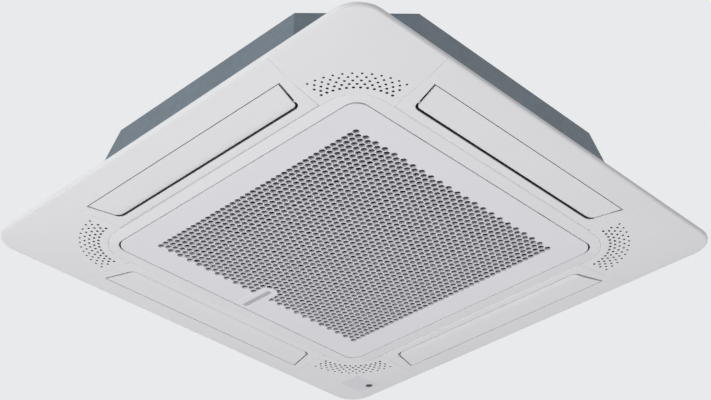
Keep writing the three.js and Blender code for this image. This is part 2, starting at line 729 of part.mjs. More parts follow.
function pumpImpeller() {
  const [x, y] = [-pumpX, -troughMiddle()];
  const z = troughFloor + 5;
  const vane = block(-impellerRadius, impellerRadius, -0.6, 0.6, z, z + 12);
  return join(
    rod(2.5, [0, 0, z], [0, 0, troughFloor + 30], 12),
    ...[0, 45, 90, 135].map((turn) => vane.rotate([0, 0, turn]))).translate([x, y, 0]);
}

function floatSwitch() {
  const [x, y] = [-floatX, -troughMiddle()];
  const top = troughFloor + floatStemHeight;
  return join(
    rod(floatStem, [x, y, troughFloor + 5], [x, y, top + 1], 14),
    rod(floatStem + 3, [x, y, troughFloor + 4], [x, y, troughFloor + 6], 14),
    wallBracket(x - 10, x + 10, y, top),
    rod(7, [x, y, top - 8], [x, y, top + 1], 14));
}

function floatBody() {
  const [x, y] = [-floatX, -troughMiddle()];
  const z = troughFloor + 6 + seat;
  const inner = floatStem + 0.6;
  return turned([[inner, z], [floatRadius - 2, z], [floatRadius, z + 2], [floatRadius, z + floatHeight - 2],
    [floatRadius - 2, z + floatHeight], [inner, z + floatHeight], [inner, z]], 20).translate([x, y, 0]);
}

// hose from the pump's outlet to the drain connection in the front wall
function pumpHose() {
  const y0 = -troughMiddle() - pumpRadius - 10 - seat;
  const y1 = -casingHalfAt(spigotZ) + sheet + 4 + seat;
  const [z0, z1] = [spigotZ - 14, spigotZ];
  return tube(7.5, [[-pumpX, y0, z0], [-pumpX, along(y0, y1, 0.3), z0],
    [-spigotX, along(y0, y1, 0.7), z1], [-spigotX, y1, z1]], 14, 10);
}

function drainSpigot() {
  const wall = casingHalfAt(spigotZ);
  const z = spigotZ;
  const body = join(
    rod(spigotRadius, [-spigotX, -wall + sheet + 4, z], [-spigotX, -wall - spigotReach, z], 18),
    rod(spigotRadius + 6, [-spigotX, -wall - casingDraft * spigotRadius * 1.5 - 1, z],
      [-spigotX, -wall - casingDraft * spigotRadius * 1.5 - 4, z], 18));
  const bore = rod(spigotBore, [-spigotX, -wall - 6, z], [-spigotX, -wall - spigotReach - 5, z], 14);
  const hoseBore = rod(9, [-spigotX, -wall, z], [-spigotX, -wall - 8, z], 14);
  return cut(body, bore, hoseBore);
}

function cableGland() {
  const wall = casingHalfAt(glandZ);
  const body = join(
    rod(glandRadius, [-wall + sheet + 6, glandY, glandZ], [-wall - 22, glandY, glandZ], 12),
    rod(glandRadius + 4, [-wall - 4, glandY, glandZ], [-wall - 10, glandY, glandZ], 6),
    rod(glandRadius + 2.5, [-wall - 14, glandY, glandZ], [-wall - 22, glandY, glandZ], 12));
  return cut(body, rod(5, [-wall + 20, glandY, glandZ], [-wall - 30, glandY, glandZ], 12));
}

// ---------------------------------------------------------------- panel
// the panel's face as stations of [half width, corner radius, drop below the ceiling]
function faceStations() {
  const rim = [0, 30, 60, 90].map((turn) => [
    panelHalf - rimRound * (1 - Math.cos(radians(turn))),
    panelCorner - rimRound * (1 - Math.cos(radians(turn))),
    rimHeight - rimRound * (1 - Math.sin(radians(turn)))]);
  return [...rim,
    [outletOuter, along(panelCorner, stepCorner, 0.4), faceDropOuter],
    [outletInner, along(panelCorner, stepCorner, 0.9), faceDropInner],
    [stepHalf, stepCorner, faceDropStep],
    [openingHalf, openingCorner, faceDropOpening]];
}

// drop and corner radius of the face at any half width
function faceAt(half) {
  const stations = faceStations();
  if (half >= stations[3][0]) return [half, panelCorner, rimHeight];
  for (let i = 4; i < stations.length; i += 1) {
    const [outer, inner] = [stations[i - 1], stations[i]];
    if (half >= inner[0]) {
      const t = (outer[0] - half) / (outer[0] - inner[0]);
      return [half, along(outer[1], inner[1], t), along(outer[2], inner[2], t)];
    }
  }
  return stations.at(-1);
}

// ring of material from the face, raised by shift, up to the height top
function faceRing(outer, inner, shift, top, steps = roundSteps) {
  const between = faceStations().slice(4).filter(([half]) => half < outer && half > inner);
  const line = [faceAt(outer), ...between, faceAt(inner)];
  const outline = ([half, radius]) => roundedSquare(half, radius, steps);
  const sections = line.map((station) => [outline(station), shift - station[2]]).reverse();
  sections.push([outline(line[0]), top]);
  sections.push([outline(line.at(-1)), top]);
  return loft(sections, true);
}

function panelSlab() {
  const line = faceStations();
  const sections = line.map(([half, radius, drop]) => [roundedSquare(half, radius), -drop]).reverse();
  sections.push([roundedSquare(panelHalf, panelCorner), 0]);
  sections.push([roundedSquare(openingHalf, openingCorner), 0]);
  return loft(sections, true);
}

// outline of one corner cover in the first quadrant; inset shrinks it, outer is how far it reaches
function coverOutline(inset, outer) {
  const lean = (coverSeamOuter - coverSeamInner) / (panelHalf - stepHalf);
  const seamAt = (x) => coverSeamInner + lean * (x - stepHalf) + inset;
  const edge = stepHalf + inset;
  const radius = stepCorner + inset;
  const centre = stepHalf - stepCorner;
  const points = [[edge, seamAt(edge)], [outer, seamAt(outer)], [outer, outer],
    [seamAt(outer), outer], [seamAt(edge), edge]];
  for (let i = 0; i <= roundSteps; i += 1) {
    const turn = Math.PI / 2 * (1 - i / roundSteps);
    points.push([centre + radius * Math.cos(turn), centre + radius * Math.sin(turn)]);
  }
  return points.map(([x, y]) => new THREE.Vector2(x, y));
}

function outletCutter() {
  const shape = (shiftIn, shiftOut, shorter) => outletOutline(outletInner - shiftIn, outletOuter - shiftOut,
    outletInnerHalfLength - shorter, outletOuterHalfLength - shorter, outletCorner);
  const lower = prism(shape(0, 0, 0), -faceDropOpening - 5, -rimHeight + 0.5);
  const upper = loft([[shape(0, 2, 0), -rimHeight], [shape(outletStepIn, outletFlare, 13), 0.01],
    [shape(outletStepIn, outletFlare, 13), 5]]);
  return join(lower, upper);
}

function vaneMotorPlace() {
  const lean = (outletOuterHalfLength - outletInnerHalfLength) / (outletOuter - outletInner);
  return outletInnerHalfLength + lean * (pivotX - outletInner) + bearingWall;
}

function everySide(solid) {
  return [0, 90, 180, 270].map((turn) => solid.rotate([0, 0, turn]));
}

function panelFrame() {
  const bearing = 12;
  const slotWall = outletOutline(outletInner - outletStepIn - skin, outletOuter + skin,
    outletInnerHalfLength + bearingWall, outletOuterHalfLength + bearingWall, outletCorner);
  const keep = [...everySide(prism(slotWall, -faceDropOpening - 5, 10))];
  const side = outletInnerHalfLength;
  for (let at = -ribStep * 2; at <= ribStep * 2 + 1; at += ribStep) {
    keep.push(...everySide(block(openingHalf, panelHalf, at - skin / 2, at + skin / 2, -30, 10)));
  }
  const hingeSeat = (x) => block(x - 18, x + 18, openingHalf, openingHalf + 13, -30, 10);
  keep.push(hingeSeat(hingeX), hingeSeat(-hingeX));
  const cornerWalls = everySide(prism(coverOutline(-skin, panelHalf), -30, 10));
  const pockets = cut(faceRing(panelHalf - bearing, openingHalf + skin, skin, 5, 1), ...keep, ...cornerWalls);
  const coverSeats = everySide(prism(coverOutline(-seat, panelHalf + 10), -30, 10)
    .subtract(faceRing(panelHalf + 15, stepHalf - 20, coverSkin + seat, 20)));
  const bearingEdge = prism(roundedSquare(panelHalf - bearing, panelCorner - bearing), -30, -3);
  const trays = everySide(prism(coverOutline(skin, panelHalf), -30, -3).intersect(bearingEdge));
  const access = [[1, 1], [-1, 1], [-1, -1], [1, -1]].map(([sx, sy]) =>
    prism(circle(sx * hangerPitchX / 2, sy * hangerPitchY / 2, accessRadius, 16), -4, 1));
  const pinHole = rod(louverPin + seat, [pivotX, -side - 30, pivotZ], [pivotX, side + 30, pivotZ], 8);
  const motorY = vaneMotorPlace();
  const motorRoom = block(pivotX - vaneMotorRadius - 1.5, pivotX + vaneMotorRadius + 1.5, motorY,
    motorY + vaneMotorLength + 4, pivotZ + vaneMotorOffset - vaneMotorRadius - seat, 5);
  const hingeRoom = [hingeX, -hingeX].map((x) =>
    block(x - 16.5, x + 16.5, openingHalf - 3, openingHalf + 10.5, -3.8, 5));
  const latchHoles = [latchX, -latchX].map((x) =>
    block(x - 9, x + 9, -openingHalf - 5, -openingHalf + 2, frameTop + 3, frameTop + 11));
  return cut(panelSlab(), pockets, ...coverSeats, ...trays, ...access, ...everySide(outletCutter()),
    ...everySide(pinHole), ...everySide(motorRoom), ...hingeRoom, ...latchHoles);
}

// foam strip round the intake, between the panel and the drain pan
function panelSeal() {
  return prism(roundedSquare(openingHalf + 30, 44), seat, panBottom - seat,
    [roundedSquare(openingHalf + 8, 30).reverse()]);
}

function cornerCover() {
  const region = prism(coverOutline(0, panelHalf + 10), -30, 10);
  const above = faceRing(panelHalf + 15, stepHalf - 20, coverSkin, 20);
  return panelSlab().intersect(region).subtract(above);
}

function receiverCover() {
  const hole = rod(lensRadius + seat, [lensX, lensY, -30], [lensX, lensY, 5], 20);
  return cornerCover().subtract(hole);
}

function receiverLens() {
  const low = -faceAt(lensX)[2] - 0.4;
  return turned([[0, low - 0.8], [lensRadius * 0.6, low - 0.6], [lensRadius, low], [lensRadius, low + 5],
    [lensRadius + 2, low + 5], [lensRadius + 2, low + 6.5], [0, low + 6.5]], 16).translate([lensX, lensY, 0]);
}

// ---------------------------------------------------------------- louvers
function louverBlade() {
  const inner = outletInner + louverGap;
  const outer = outletOuter - louverEdgeGap;
  const t = louverThickness;
  const lowInner = -faceDropInner + 0.1;
  const lowOuter = -faceDropOuter;
  const crown = 0.4;
  const section = [[inner - 1, lowInner], [along(inner, outer, 0.33), along(lowInner, lowOuter, 0.33) - crown],
    [along(inner, outer, 0.66), along(lowInner, lowOuter, 0.66) - crown], [outer + 1, lowOuter],
    [outer + 1, lowOuter + 0.6 * t], [along(inner, outer, 0.66), along(lowInner, lowOuter, 0.66) + 0.9 * t],
    [along(inner, outer, 0.33), along(lowInner, lowOuter, 0.33) + t], [inner - 1, lowInner + t]];
  const plan = prism(outletOutline(inner, outer, outletInnerHalfLength - louverGap,
    outletOuterHalfLength - louverGap, outletCorner - louverGap / 2), -40, 5);
  const blade = bar(section, -outletOuterHalfLength - 5, outletOuterHalfLength + 5).intersect(plan);
  const lugOut = outletInnerHalfLength - louverGap - outletCorner / 2;
  const lug = [[pivotX - 7, lowInner + t / 2], [pivotX + 9, lowInner + t / 2],
    [pivotX + louverPin + 1, pivotZ + louverPin + 0.5], [pivotX - louverPin - 1, pivotZ + louverPin + 0.5]];
  const motorY = vaneMotorPlace();
  return join(blade, bar(lug, lugOut - 4, lugOut), bar(lug, -lugOut, -lugOut + 4),
    bar(lug, -2, 2),
    rod(louverPin, [pivotX, lugOut - 2, pivotZ], [pivotX, motorY + 7, pivotZ], 8),
    rod(louverPin, [pivotX, 2 - lugOut, pivotZ], [pivotX, seat - motorY, pivotZ], 8));
}

function vaneMotor() {
  const y = vaneMotorPlace() + seat;
  const z = pivotZ + vaneMotorOffset;
  const body = join(
    rod(vaneMotorRadius, [pivotX, y, z], [pivotX, y + vaneMotorLength, z], 16),
    block(pivotX - vaneMotorRadius, pivotX + vaneMotorRadius, y + 4, y + 12, z, z + vaneMotorRadius - 0.5));
  return cut(body, rod(louverPin + seat, [pivotX, y - 1, pivotZ], [pivotX, y + 8, pivotZ], 8));
}

// ---------------------------------------------------------------- intake grille
function hexHole(x, y) {
  const radius = holeAcross / Math.sqrt(3);
  return [0, 60, 120, 180, 240, 300].map((turn) => new THREE.Vector2(
    x + radius * Math.cos(radians(turn)), y + radius * Math.sin(radians(turn)))).reverse();
}

function hexHoles() {
  const field = filterHalf - holeMargin;
  const columns = Math.floor((field - holeAcross / Math.sqrt(3)) / holePitchX);
  const rows = Math.floor((2 * field - holeAcross) / holePitchY) + 1;
  const holes = [];
  for (let column = -columns; column <= columns; column += 1) {
    const count = rows - (column + columns) % 2;
    for (let row = 0; row < count; row += 1) {
      const [x, y] = [column * holePitchX, (row - (count - 1) / 2) * holePitchY];
      const onTongue = Math.abs(x) < tongueWidth / 2 && y - holeAcross / 2 < -tongueTip;
      if (!onTongue) holes.push(hexHole(x, y));
    }
  }
  return holes;
}

function grillePlate() {
  const face = -faceDropOpening;
  const edge = 1;
  const outside = loft([[roundedSquare(grilleHalf - edge, grilleCorner - edge), face],
    [roundedSquare(grilleHalf, grilleCorner), face + edge],
    [roundedSquare(grilleHalf, grilleCorner), face + plateRim]]);
  const inside = prism(roundedSquare(grilleHalf - plateThickness, grilleCorner - plateThickness),
    face + plateThickness, face + plateRim + 1);
  const field = filterHalf + 4;
  const middle = prism(roundedSquare(field, 6), face - 1, face + plateRim + 1);
  const perforated = prism(roundedSquare(field, 6), face, face + plateThickness, hexHoles());
  const tongue = prism(roundedBox(-tongueWidth / 2, tongueWidth / 2, -inlayEnd - 4, -tongueTip,
    tongueWidth / 2 - 1), face - tongueRaise, face + plateThickness);
  const recess = prism(roundedBox(-inlayWidth / 2 - seat, inlayWidth / 2 + seat, -inlayEnd - seat,
    -inlayStart + seat, inlayWidth / 3), face - tongueRaise - 1, face + 0.5);
  const notches = [hingeX, -hingeX].map((x) =>
    block(x - 16.5, x + 16.5, hingeY - 4, grilleHalf + 1, face + plateThickness, face + plateRim + 1));
  return cut(join(cut(outside, inside, middle), perforated, tongue), recess, ...notches);
}

function inlayBar() {
  const face = -faceDropOpening;
  return prism(roundedBox(-inlayWidth / 2, inlayWidth / 2, -inlayEnd, -inlayStart, inlayWidth / 3),
    face - tongueRaise + 0.1, face + 0.5 - seat);
}

// square cells between the crossing bars of a window that reaches back only to -back
function gridCells(half, back, bar, z0, z1) {
  const [wide, deep] = [(2 * half - (cellCount - 1) * bar) / cellCount,
    (half + back - (cellCount - 1) * bar) / cellCount];
  const cells = [];
  for (let column = 0; column < cellCount; column += 1) {
    for (let row = 0; row < cellCount; row += 1) {
      const [x, y] = [-half + column * (wide + bar), -back + row * (deep + bar)];
      cells.push(block(x, x + wide, y, y + deep, z0, z1));
    }
  }
  return cells;
}

// moulded frame behind the plate: carries the filter, the hinge bearings and the latches
function grilleFrame() {
  const half = grilleHalf - plateThickness - seat;
  const corner = grilleCorner - plateThickness - seat;
  const window = roundedBox(-filterHalf - 2, filterHalf + 2, -filterBack - 2, filterHalf + 2, 8);
  const base = cut(prism(roundedSquare(half, corner), frameBottom, frameTop),
    prism(window, filterSeat, frameTop + 1),
    ...gridCells(filterHalf + 2, filterBack + 2, 12, frameBottom - 1, frameTop));
  const wallTop = frameBottom + frameWallHeight;
  const wall = (outline, inner) => prism(outline, frameTop - 1, wallTop, [[...inner].reverse()]);
  const outerWall = wall(roundedSquare(half, corner), roundedSquare(half - skin, corner - skin));
  const innerWall = wall(roundedBox(-filterHalf - 2 - skin, filterHalf + 2 + skin, -filterBack - 2 - skin,
    filterHalf + 2 + skin, 8 + skin), window);
  const bearings = [hingeX, -hingeX].map((x) =>
    block(x - 11, x + 11, hingeY - 4.5, hingeY + 3.5, frameBottom, hingeZ + hingePin + 2.5));
  const hingeBores = [hingeX, -hingeX].map((x) =>
    rod(hingePin + seat, [x - 20, hingeY, hingeZ], [x + 20, hingeY, hingeZ], 12));
  const earSlots = [hingeX, -hingeX].flatMap((x) => [-1, 1].map((side) =>
    block(x + side * 13.25 - 2.25, x + side * 13.25 + 2.25, hingeY - 5.5, grilleHalf + 1, -30, 0)));
  const wallGaps = [hingeX, -hingeX].map((x) =>
    block(x - 15.5, x + 15.5, hingeY + 3.6, grilleHalf + 1, frameTop - 0.5, 0));
  const studSlots = [latchX, -latchX].map((x) =>
    block(x - 4.5, x + 4.5, -latchY - latchTravel - 5.5, -latchY + 5.5, -30, 0));
  const boltWays = [latchX, -latchX].map((x) =>
    block(x - 7, x + 7, -grilleHalf, -half + skin + 1, frameTop + 4, 0));
  return cut(join(base, outerWall, innerWall, ...bearings),
    ...hingeBores, ...earSlots, ...wallGaps, ...studSlots, ...boltWays);
}

function filterFrame() {
  const z = filterSeat + seat;
  const outer = roundedBox(-filterHalf, filterHalf, -filterBack, filterHalf, 6, 3);
  const [half, back] = [filterHalf - filterEdge, filterBack - filterEdge];
  return cut(prism(outer, z, z + filterHeight),
    block(-half, half, -back, half, z + ribHeight, z + filterHeight + 1),
    ...gridCells(half, back, 6, z - 1, z + filterHeight));
}

function filterMesh() {
  const z = filterSeat + 2 * seat + filterHeight;
  return prism(roundedBox(-filterHalf + 3, filterHalf - 3, -filterBack + 3, filterHalf - 3, 5),
    z, z + meshThickness);
}

// steel bracket on the panel: a foot, two ears and the pin that the grille hangs from
function hingeBracket() {
  const foot = block(-15, 15, hingeY - hingePin - 0.2, openingHalf + 10, -3.5, -0.5);
  const ear = (x) => join(
    block(x - 1.5, x + 1.5, hingeY - hingePin - 0.2, hingeY + hingePin + 0.2, hingeZ, -1),
    rod(hingePin + 0.2, [x - 1.5, hingeY, hingeZ], [x + 1.5, hingeY, hingeZ], 12));
  return join(foot, ear(-13.25), ear(13.25), rod(hingePin, [-14, hingeY, hingeZ], [14, hingeY, hingeZ], 12));
}

// sliding latch: sled, stud that a finger reaches through the holes, and the bolt
function grilleLatch() {
  const z = frameTop + seat;
  const boltTip = -grilleHalf - 0.3;
  return join(
    block(-10, 10, -latchY - 12, -latchY + 12, z, z + 5),
    block(-3.5, 3.5, -latchY - 4.5, -latchY + 4.5, frameBottom + 0.2, z + 1),
    block(-6, 6, boltTip, -latchY - 11, frameTop + 5, frameTop + 8.2),
    block(-6, 6, -latchY - 12, -latchY, z + 4, frameTop + 8.2));
}

// ---------------------------------------------------------------- materials
function finish(color, roughness, metalness = 0) {
  return new THREE.MeshStandardMaterial({ color, roughness, metalness });
}

const galvanised = finish(0x7f8b92, 0.45, 0.8);
const bareSteel = finish(0x9a9fa3, 0.4, 0.9);
const copper = finish(0xb87350, 0.35, 0.9);
const brass = finish(0xb99a55, 0.35, 0.9);
const aluminium = finish(0xb9bdc0, 0.5, 0.8);
const whiteFoam = finish(0xe6e6e2, 0.9);
const whitePlastic = finish(0xdcdce0, 0.45);
const greyPlastic = finish(0x55585c, 0.6);
const paleGrey = finish(0xb9bbc0, 0.5);
const blackPlastic = finish(0x1c1d20, 0.4);
const fanPlastic = finish(0x3a3d42, 0.55);
const rubber = finish(0x202124, 0.85);
const greenBoard = finish(0x2f6b45, 0.5);
const meshCloth = finish(0x3d4045, 0.8);
const floatWhite = finish(0xe9e9e6, 0.5);

// ---------------------------------------------------------------- the assembly
function piece(name, solid, material) {
  const mesh = new THREE.Mesh(geometryOf(solid), material.clone());
  mesh.name = name;
  return mesh;
}

function assembly(...pieces) {
  const group = new THREE.Group();
  group.add(...pieces);
  return group;
}

const sides = ['right', 'rear', 'left', 'front'];
const corners = [['rear_right', 1, 1], ['rear_left', -1, 1], ['front_left', -1, -1], ['front_right', 1, -1]];

function casingAssembly() {
  const bracket = hangerBracket();
  const brackets = corners.map(([corner, sx, sy]) => {
    const mesh = piece(`hanger_bracket_${corner}`, bracket, bareSteel);
    mesh.position.set(sx * hangerPitchX / 2, sy * hangerPitchY / 2, 0);
    mesh.rotation.z = Math.atan2(sy, sx);
    return mesh;
  });
  return assembly(
    piece('casing_wrap', casingWrap(), galvanised),
    piece('casing_top_plate', casingTopPlate(), galvanised),
    piece('insulation_liner', insulationLiner(), whiteFoam),
    piece('insulation_roof', insulationRoof(), whiteFoam),
    piece('cable_gland', cableGland(), greyPlastic),
    ...brackets);
}

function coolingAssembly() {
  const gasX = -coilInner - coilDepth * 0.3;
  const liquidX = -coilInner - coilDepth * 0.8;
  return assembly(
    piece('drain_pan', drainPan(), whiteFoam),
    piece('drain_plug', drainPlug(), rubber),
    piece('coil_fin_pack', coilFinPack(), aluminium),
    piece('coil_return_plate', coilReturnPlate(), copper),
    piece('coil_header_plate', coilHeaderPlate(), galvanised),
    piece('gas_pipe', headerPipe(gasPipeRadius, gasX, gasPipeZ), copper),
    piece('liquid_pipe', headerPipe(liquidPipeRadius, liquidX, liquidPipeZ), copper),
    piece('gas_flare_nut', flareNut(gasPipeRadius, gasPipeZ), brass),
    piece('liquid_flare_nut', flareNut(liquidPipeRadius, liquidPipeZ), brass),
    piece('drain_pump', drainPump(), greyPlastic),
    piece('pump_impeller', pumpImpeller(), whitePlastic),
    piece('float_switch', floatSwitch(), greyPlastic),
    piece('float', floatBody(), floatWhite),
    piece('pump_hose', pumpHose(), rubber),
    piece('drain_spigot', drainSpigot(), greyPlastic));
}

function fanAssembly() {
  const bush = motorBush();
  const bushes = ['rear', 'left', 'right'].map((side, i) => {
    const mesh = piece(`motor_bush_${side}`, bush, rubber);
    mesh.rotation.z = radians(90 + 120 * i);
    return mesh;
  });
  return assembly(
    piece('bell_mouth', bellMouth(), whitePlastic),
    piece('turbo_fan', turboFan(), fanPlastic),
    piece('fan_nut', fanNut(), bareSteel),
    piece('motor_shaft', motorShaft(), bareSteel),
    piece('fan_motor', fanMotor(), galvanised),
    ...bushes,
    piece('control_box', controlBox(), galvanised),
    piece('control_box_lid', controlBoxLid(), galvanised),
    piece('control_board', controlBoard(), greenBoard),
    piece('terminal_block', terminalBlock(), whitePlastic));
}

function panelAssembly() {
  const blade = louverBlade();
  const motor = vaneMotor();
  const cover = cornerCover();
  const outlets = sides.map((side, i) => {
    const group = assembly(
      piece(`louver_${side}`, blade, whitePlastic),
      piece(`louver_motor_${side}`, motor, bareSteel));
    group.rotation.z = i * Math.PI / 2;
    return group;
  });
  const covers = corners.map(([corner], i) => {
    const receiver = corner === 'front_left';
    const group = assembly(piece(`corner_cover_${corner}`, receiver ? receiverCover() : cover, whitePlastic));
    if (receiver) group.add(piece('receiver_lens', receiverLens(), blackPlastic));
    group.rotation.z = i * Math.PI / 2;
    return group;
  });
  const hinges = [['right', 1], ['left', -1]].map(([side, sx]) => {
    const mesh = piece(`hinge_bracket_${side}`, hingeBracket(), bareSteel);
    mesh.position.x = sx * hingeX;
    return mesh;
  });
  return assembly(
    piece('panel_frame', panelFrame(), whitePlastic),
    piece('panel_seal', panelSeal(), greyPlastic),
    ...outlets, ...covers, ...hinges);
}

function grilleAssembly() {
  const latches = [['right', 1], ['left', -1]].map(([side, sx]) => {
    const mesh = piece(`grille_latch_${side}`, grilleLatch(), blackPlastic);
    mesh.position.x = sx * latchX;
    return mesh;
  });
  return assembly(
    piece('grille_plate', grillePlate(), whitePlastic),
    piece('grille_inlay', inlayBar(), paleGrey),
    piece('grille_frame', grilleFrame(), greyPlastic),
    piece('filter_frame', filterFrame(), greyPlastic),
    piece('filter_mesh', filterMesh(), meshCloth),
    ...latches);
}

const cassette = assembly(
  casingAssembly(), coolingAssembly(), fanAssembly(), panelAssembly(), grilleAssembly());

export default cassette;
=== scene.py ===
"""A four-way ceiling cassette air conditioner, hung in its place and seen from the room below."""
import json
import math

import bmesh
import bpy
from mathutils import Matrix, Vector
from mathutils.geometry import delaunay_2d_cdt


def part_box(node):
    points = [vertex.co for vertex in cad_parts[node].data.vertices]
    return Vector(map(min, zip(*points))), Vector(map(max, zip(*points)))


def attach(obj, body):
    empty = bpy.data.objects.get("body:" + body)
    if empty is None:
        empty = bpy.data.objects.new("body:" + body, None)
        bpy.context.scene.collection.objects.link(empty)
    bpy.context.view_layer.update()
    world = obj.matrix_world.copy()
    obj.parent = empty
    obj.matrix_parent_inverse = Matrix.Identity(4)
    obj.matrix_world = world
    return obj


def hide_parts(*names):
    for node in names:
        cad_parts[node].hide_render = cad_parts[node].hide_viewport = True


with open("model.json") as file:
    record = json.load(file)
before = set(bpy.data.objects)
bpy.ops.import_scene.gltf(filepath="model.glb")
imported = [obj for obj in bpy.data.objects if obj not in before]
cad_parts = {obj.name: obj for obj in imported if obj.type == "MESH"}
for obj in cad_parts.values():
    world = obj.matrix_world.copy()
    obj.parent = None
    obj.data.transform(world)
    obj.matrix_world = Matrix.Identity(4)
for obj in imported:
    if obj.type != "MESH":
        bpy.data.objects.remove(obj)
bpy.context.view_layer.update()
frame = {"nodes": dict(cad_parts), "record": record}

# ---- Casing -------------------------------------------------------------------------------
# A wrap of zinc-coated sheet steel with cut-off corners and a pressed top plate, folded and
# screwed. It stays in the ceiling void, so it is left as it comes from the press.
MM = 0.001
nodes = frame["nodes"]
rides_on = {node: body for body, names in frame["record"]["behaviour"]["bodies"].items() for node in names}


def linear(code):
    """An sRGB hex colour as linear red, green, blue and alpha."""
    parts = [int(code[i:i + 2], 16) / 255 for i in (0, 2, 4)]
    return [v / 12.92 if v <= 0.04045 else ((v + 0.055) / 1.055) ** 2.4 for v in parts] + [1.0]


def add(tree, kind, inputs=None, **settings):
    """Adds a node with its settings, and gives its sockets a value or links them to another's output."""
    made = tree.nodes.new(kind)
    for name, value in settings.items():
        setattr(made, name, value)
    for socket, source in (inputs or {}).items():
        if isinstance(source, bpy.types.NodeSocket):
            tree.links.new(source, made.inputs[socket])
        else:
            made.inputs[socket].default_value = source
    return made


def bare_material(name):
    """A material with nothing in it yet, its tree, and the coordinates that its patterns follow."""
    material = bpy.data.materials.new(name)
    material.use_nodes = True
    tree = material.node_tree
    tree.nodes.clear()
    return material, tree, add(tree, "ShaderNodeTexCoord").outputs["Object"]


def finish(name, light, dark, pattern, relief, rough, metallic=0.0):
    """A material: two tones mixed by a pattern, a relief in millimetres, and a range of roughness."""
    material, tree, place = bare_material(name)
    tone, height = pattern(tree, place)
    # sockets 6 and 7 of Mix are its two colours, and 3 and 4 of Map Range the two ends of its result
    colour = add(tree, "ShaderNodeMix", {0: tone, 6: linear(light), 7: linear(dark)}, data_type="RGBA")
    gloss = add(tree, "ShaderNodeMapRange", {0: tone, 3: rough[0], 4: rough[1]})
    bump = add(tree, "ShaderNodeBump", {"Strength": 1.0, "Distance": relief * MM, "Height": height})
    shader = add(tree, "ShaderNodeBsdfPrincipled", {
        "Base Color": colour.outputs[2], "Roughness": gloss.outputs[0], "Normal": bump.outputs[0],
        "Metallic": metallic})
    add(tree, "ShaderNodeOutputMaterial", {"Surface": shader.outputs[0]})
    return material


def blotches(tree, place, size, detail=2.0):
    """Cloudy pattern whose blotches are about size millimetres across."""
    clouds = add(tree, "ShaderNodeTexNoise", {"Vector": place, "Scale": 1 / (size * MM), "Detail": detail})
    return clouds.outputs["Fac"]


def zinc_spangle(tree, place):
    cells = add(tree, "ShaderNodeTexVoronoi", {"Vector": place, "Scale": 1 / (11 * MM)})
    tint = add(tree, "ShaderNodeSeparateColor", {0: cells.outputs["Color"]}).outputs[0]
    tone = add(tree, "ShaderNodeMix", {0: 0.62, 2: tint, 3: blotches(tree, place, 160)})
    return tone.outputs[0], blotches(tree, place, 30)


# skin-passed zinc: a cool grey, half dull, with the faint flakes of the coating
zinc_coated_steel = finish("zinc_coated_steel", "6B7985", "606E79", zinc_spangle, 0.05, (0.46, 0.58),
                           metallic=0.25)


def new_piece(name, data):
    """An object with that mesh, lamp or camera in it, placed in the scene."""
    made = bpy.data.objects.new(name, data)
    bpy.context.scene.collection.objects.link(made)
    return made


def opened(made):
    """A piece's mesh, opened for work on its faces."""
    work = bmesh.new()
    work.from_mesh(made.data)
    return work


def closed(work, mesh):
    """Writes the work into a mesh and lets go of it."""
    work.to_mesh(mesh)
    work.free()
    return mesh


def settle(made):
    """Turns an object's modifiers into plain mesh."""
    bpy.context.view_layer.update()
    plain = bpy.data.meshes.new_from_object(made.evaluated_get(bpy.context.evaluated_depsgraph_get()))
    made.modifiers.clear()
    made.data = plain


def flatten(made, angle):
    """Keeps wide faces flat in their shading, and shades only the narrow rounds between them."""
    made.data.set_sharp_from_angle(angle=math.radians(angle))
    weighted = made.modifiers.new("normals", "WEIGHTED_NORMAL")
    weighted.keep_sharp = True
    settle(made)


def dress(made, material):
    """Gives a piece one finish in place of what it came with."""
    made.data.materials.clear()
    made.data.materials.append(material)


one_plane = 0.3       # degrees within which neighbouring facets count as one face
past_facet = 14       # degrees past facet at which the shading breaks


def rounded(name, round_mm, material, facet=32):
    """A copy of a solid with its edges over facet degrees rounded off, as bending or moulding does."""
    made = new_piece(name + "_piece", nodes[name].data.copy())
    work = opened(made)
    bmesh.ops.remove_doubles(work, verts=work.verts, dist=1e-6)
    bmesh.ops.dissolve_limit(work, angle_limit=math.radians(one_plane), verts=work.verts, edges=work.edges)
    for face in work.faces:
        face.smooth = True
    closed(work, made.data)
    if round_mm:
        bevel = made.modifiers.new("edges", "BEVEL")
        bevel.width = round_mm * MM
        bevel.segments = 2
        bevel.limit_method = "ANGLE"
        bevel.angle_limit = math.radians(facet)
    settle(made)
    flatten(made, facet + past_facet)
    dress(made, material)
    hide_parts(name)
    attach(made, rides_on[name])
    return made


def open_tree(name, wanted):
    """A Geometry Nodes tree whose wanted inputs each have a kind and a value, its entry and its sockets."""
    tree = bpy.data.node_groups.new(name, "GeometryNodeTree")
    for way in ("OUTPUT", "INPUT"):
        tree.interface.new_socket("Geometry", in_out=way, socket_type="NodeSocketGeometry")
    sockets = [(tree.interface.new_socket(label, in_out="INPUT", socket_type="NodeSocket" + kind), value)
               for label, (kind, value) in wanted.items()]
    return tree, add(tree, "NodeGroupInput").outputs, sockets


def run_tree(made, tree, entry, shape, sockets):
    """Gives a tree's shape its finish and its way out, and turns a piece into what the tree makes."""
    dressed = add(tree, "GeometryNodeSetMaterial", {
        "Geometry": shape.outputs[0], "Material": entry["Finish"]})
    add(tree, "NodeGroupOutput", {0: dressed.outputs[0]})
    modifier = made.modifiers.new("shape", "NODES")
    modifier.node_group = tree
    for socket, value in sockets:
        modifier[socket.identifier] = value
    settle(made)


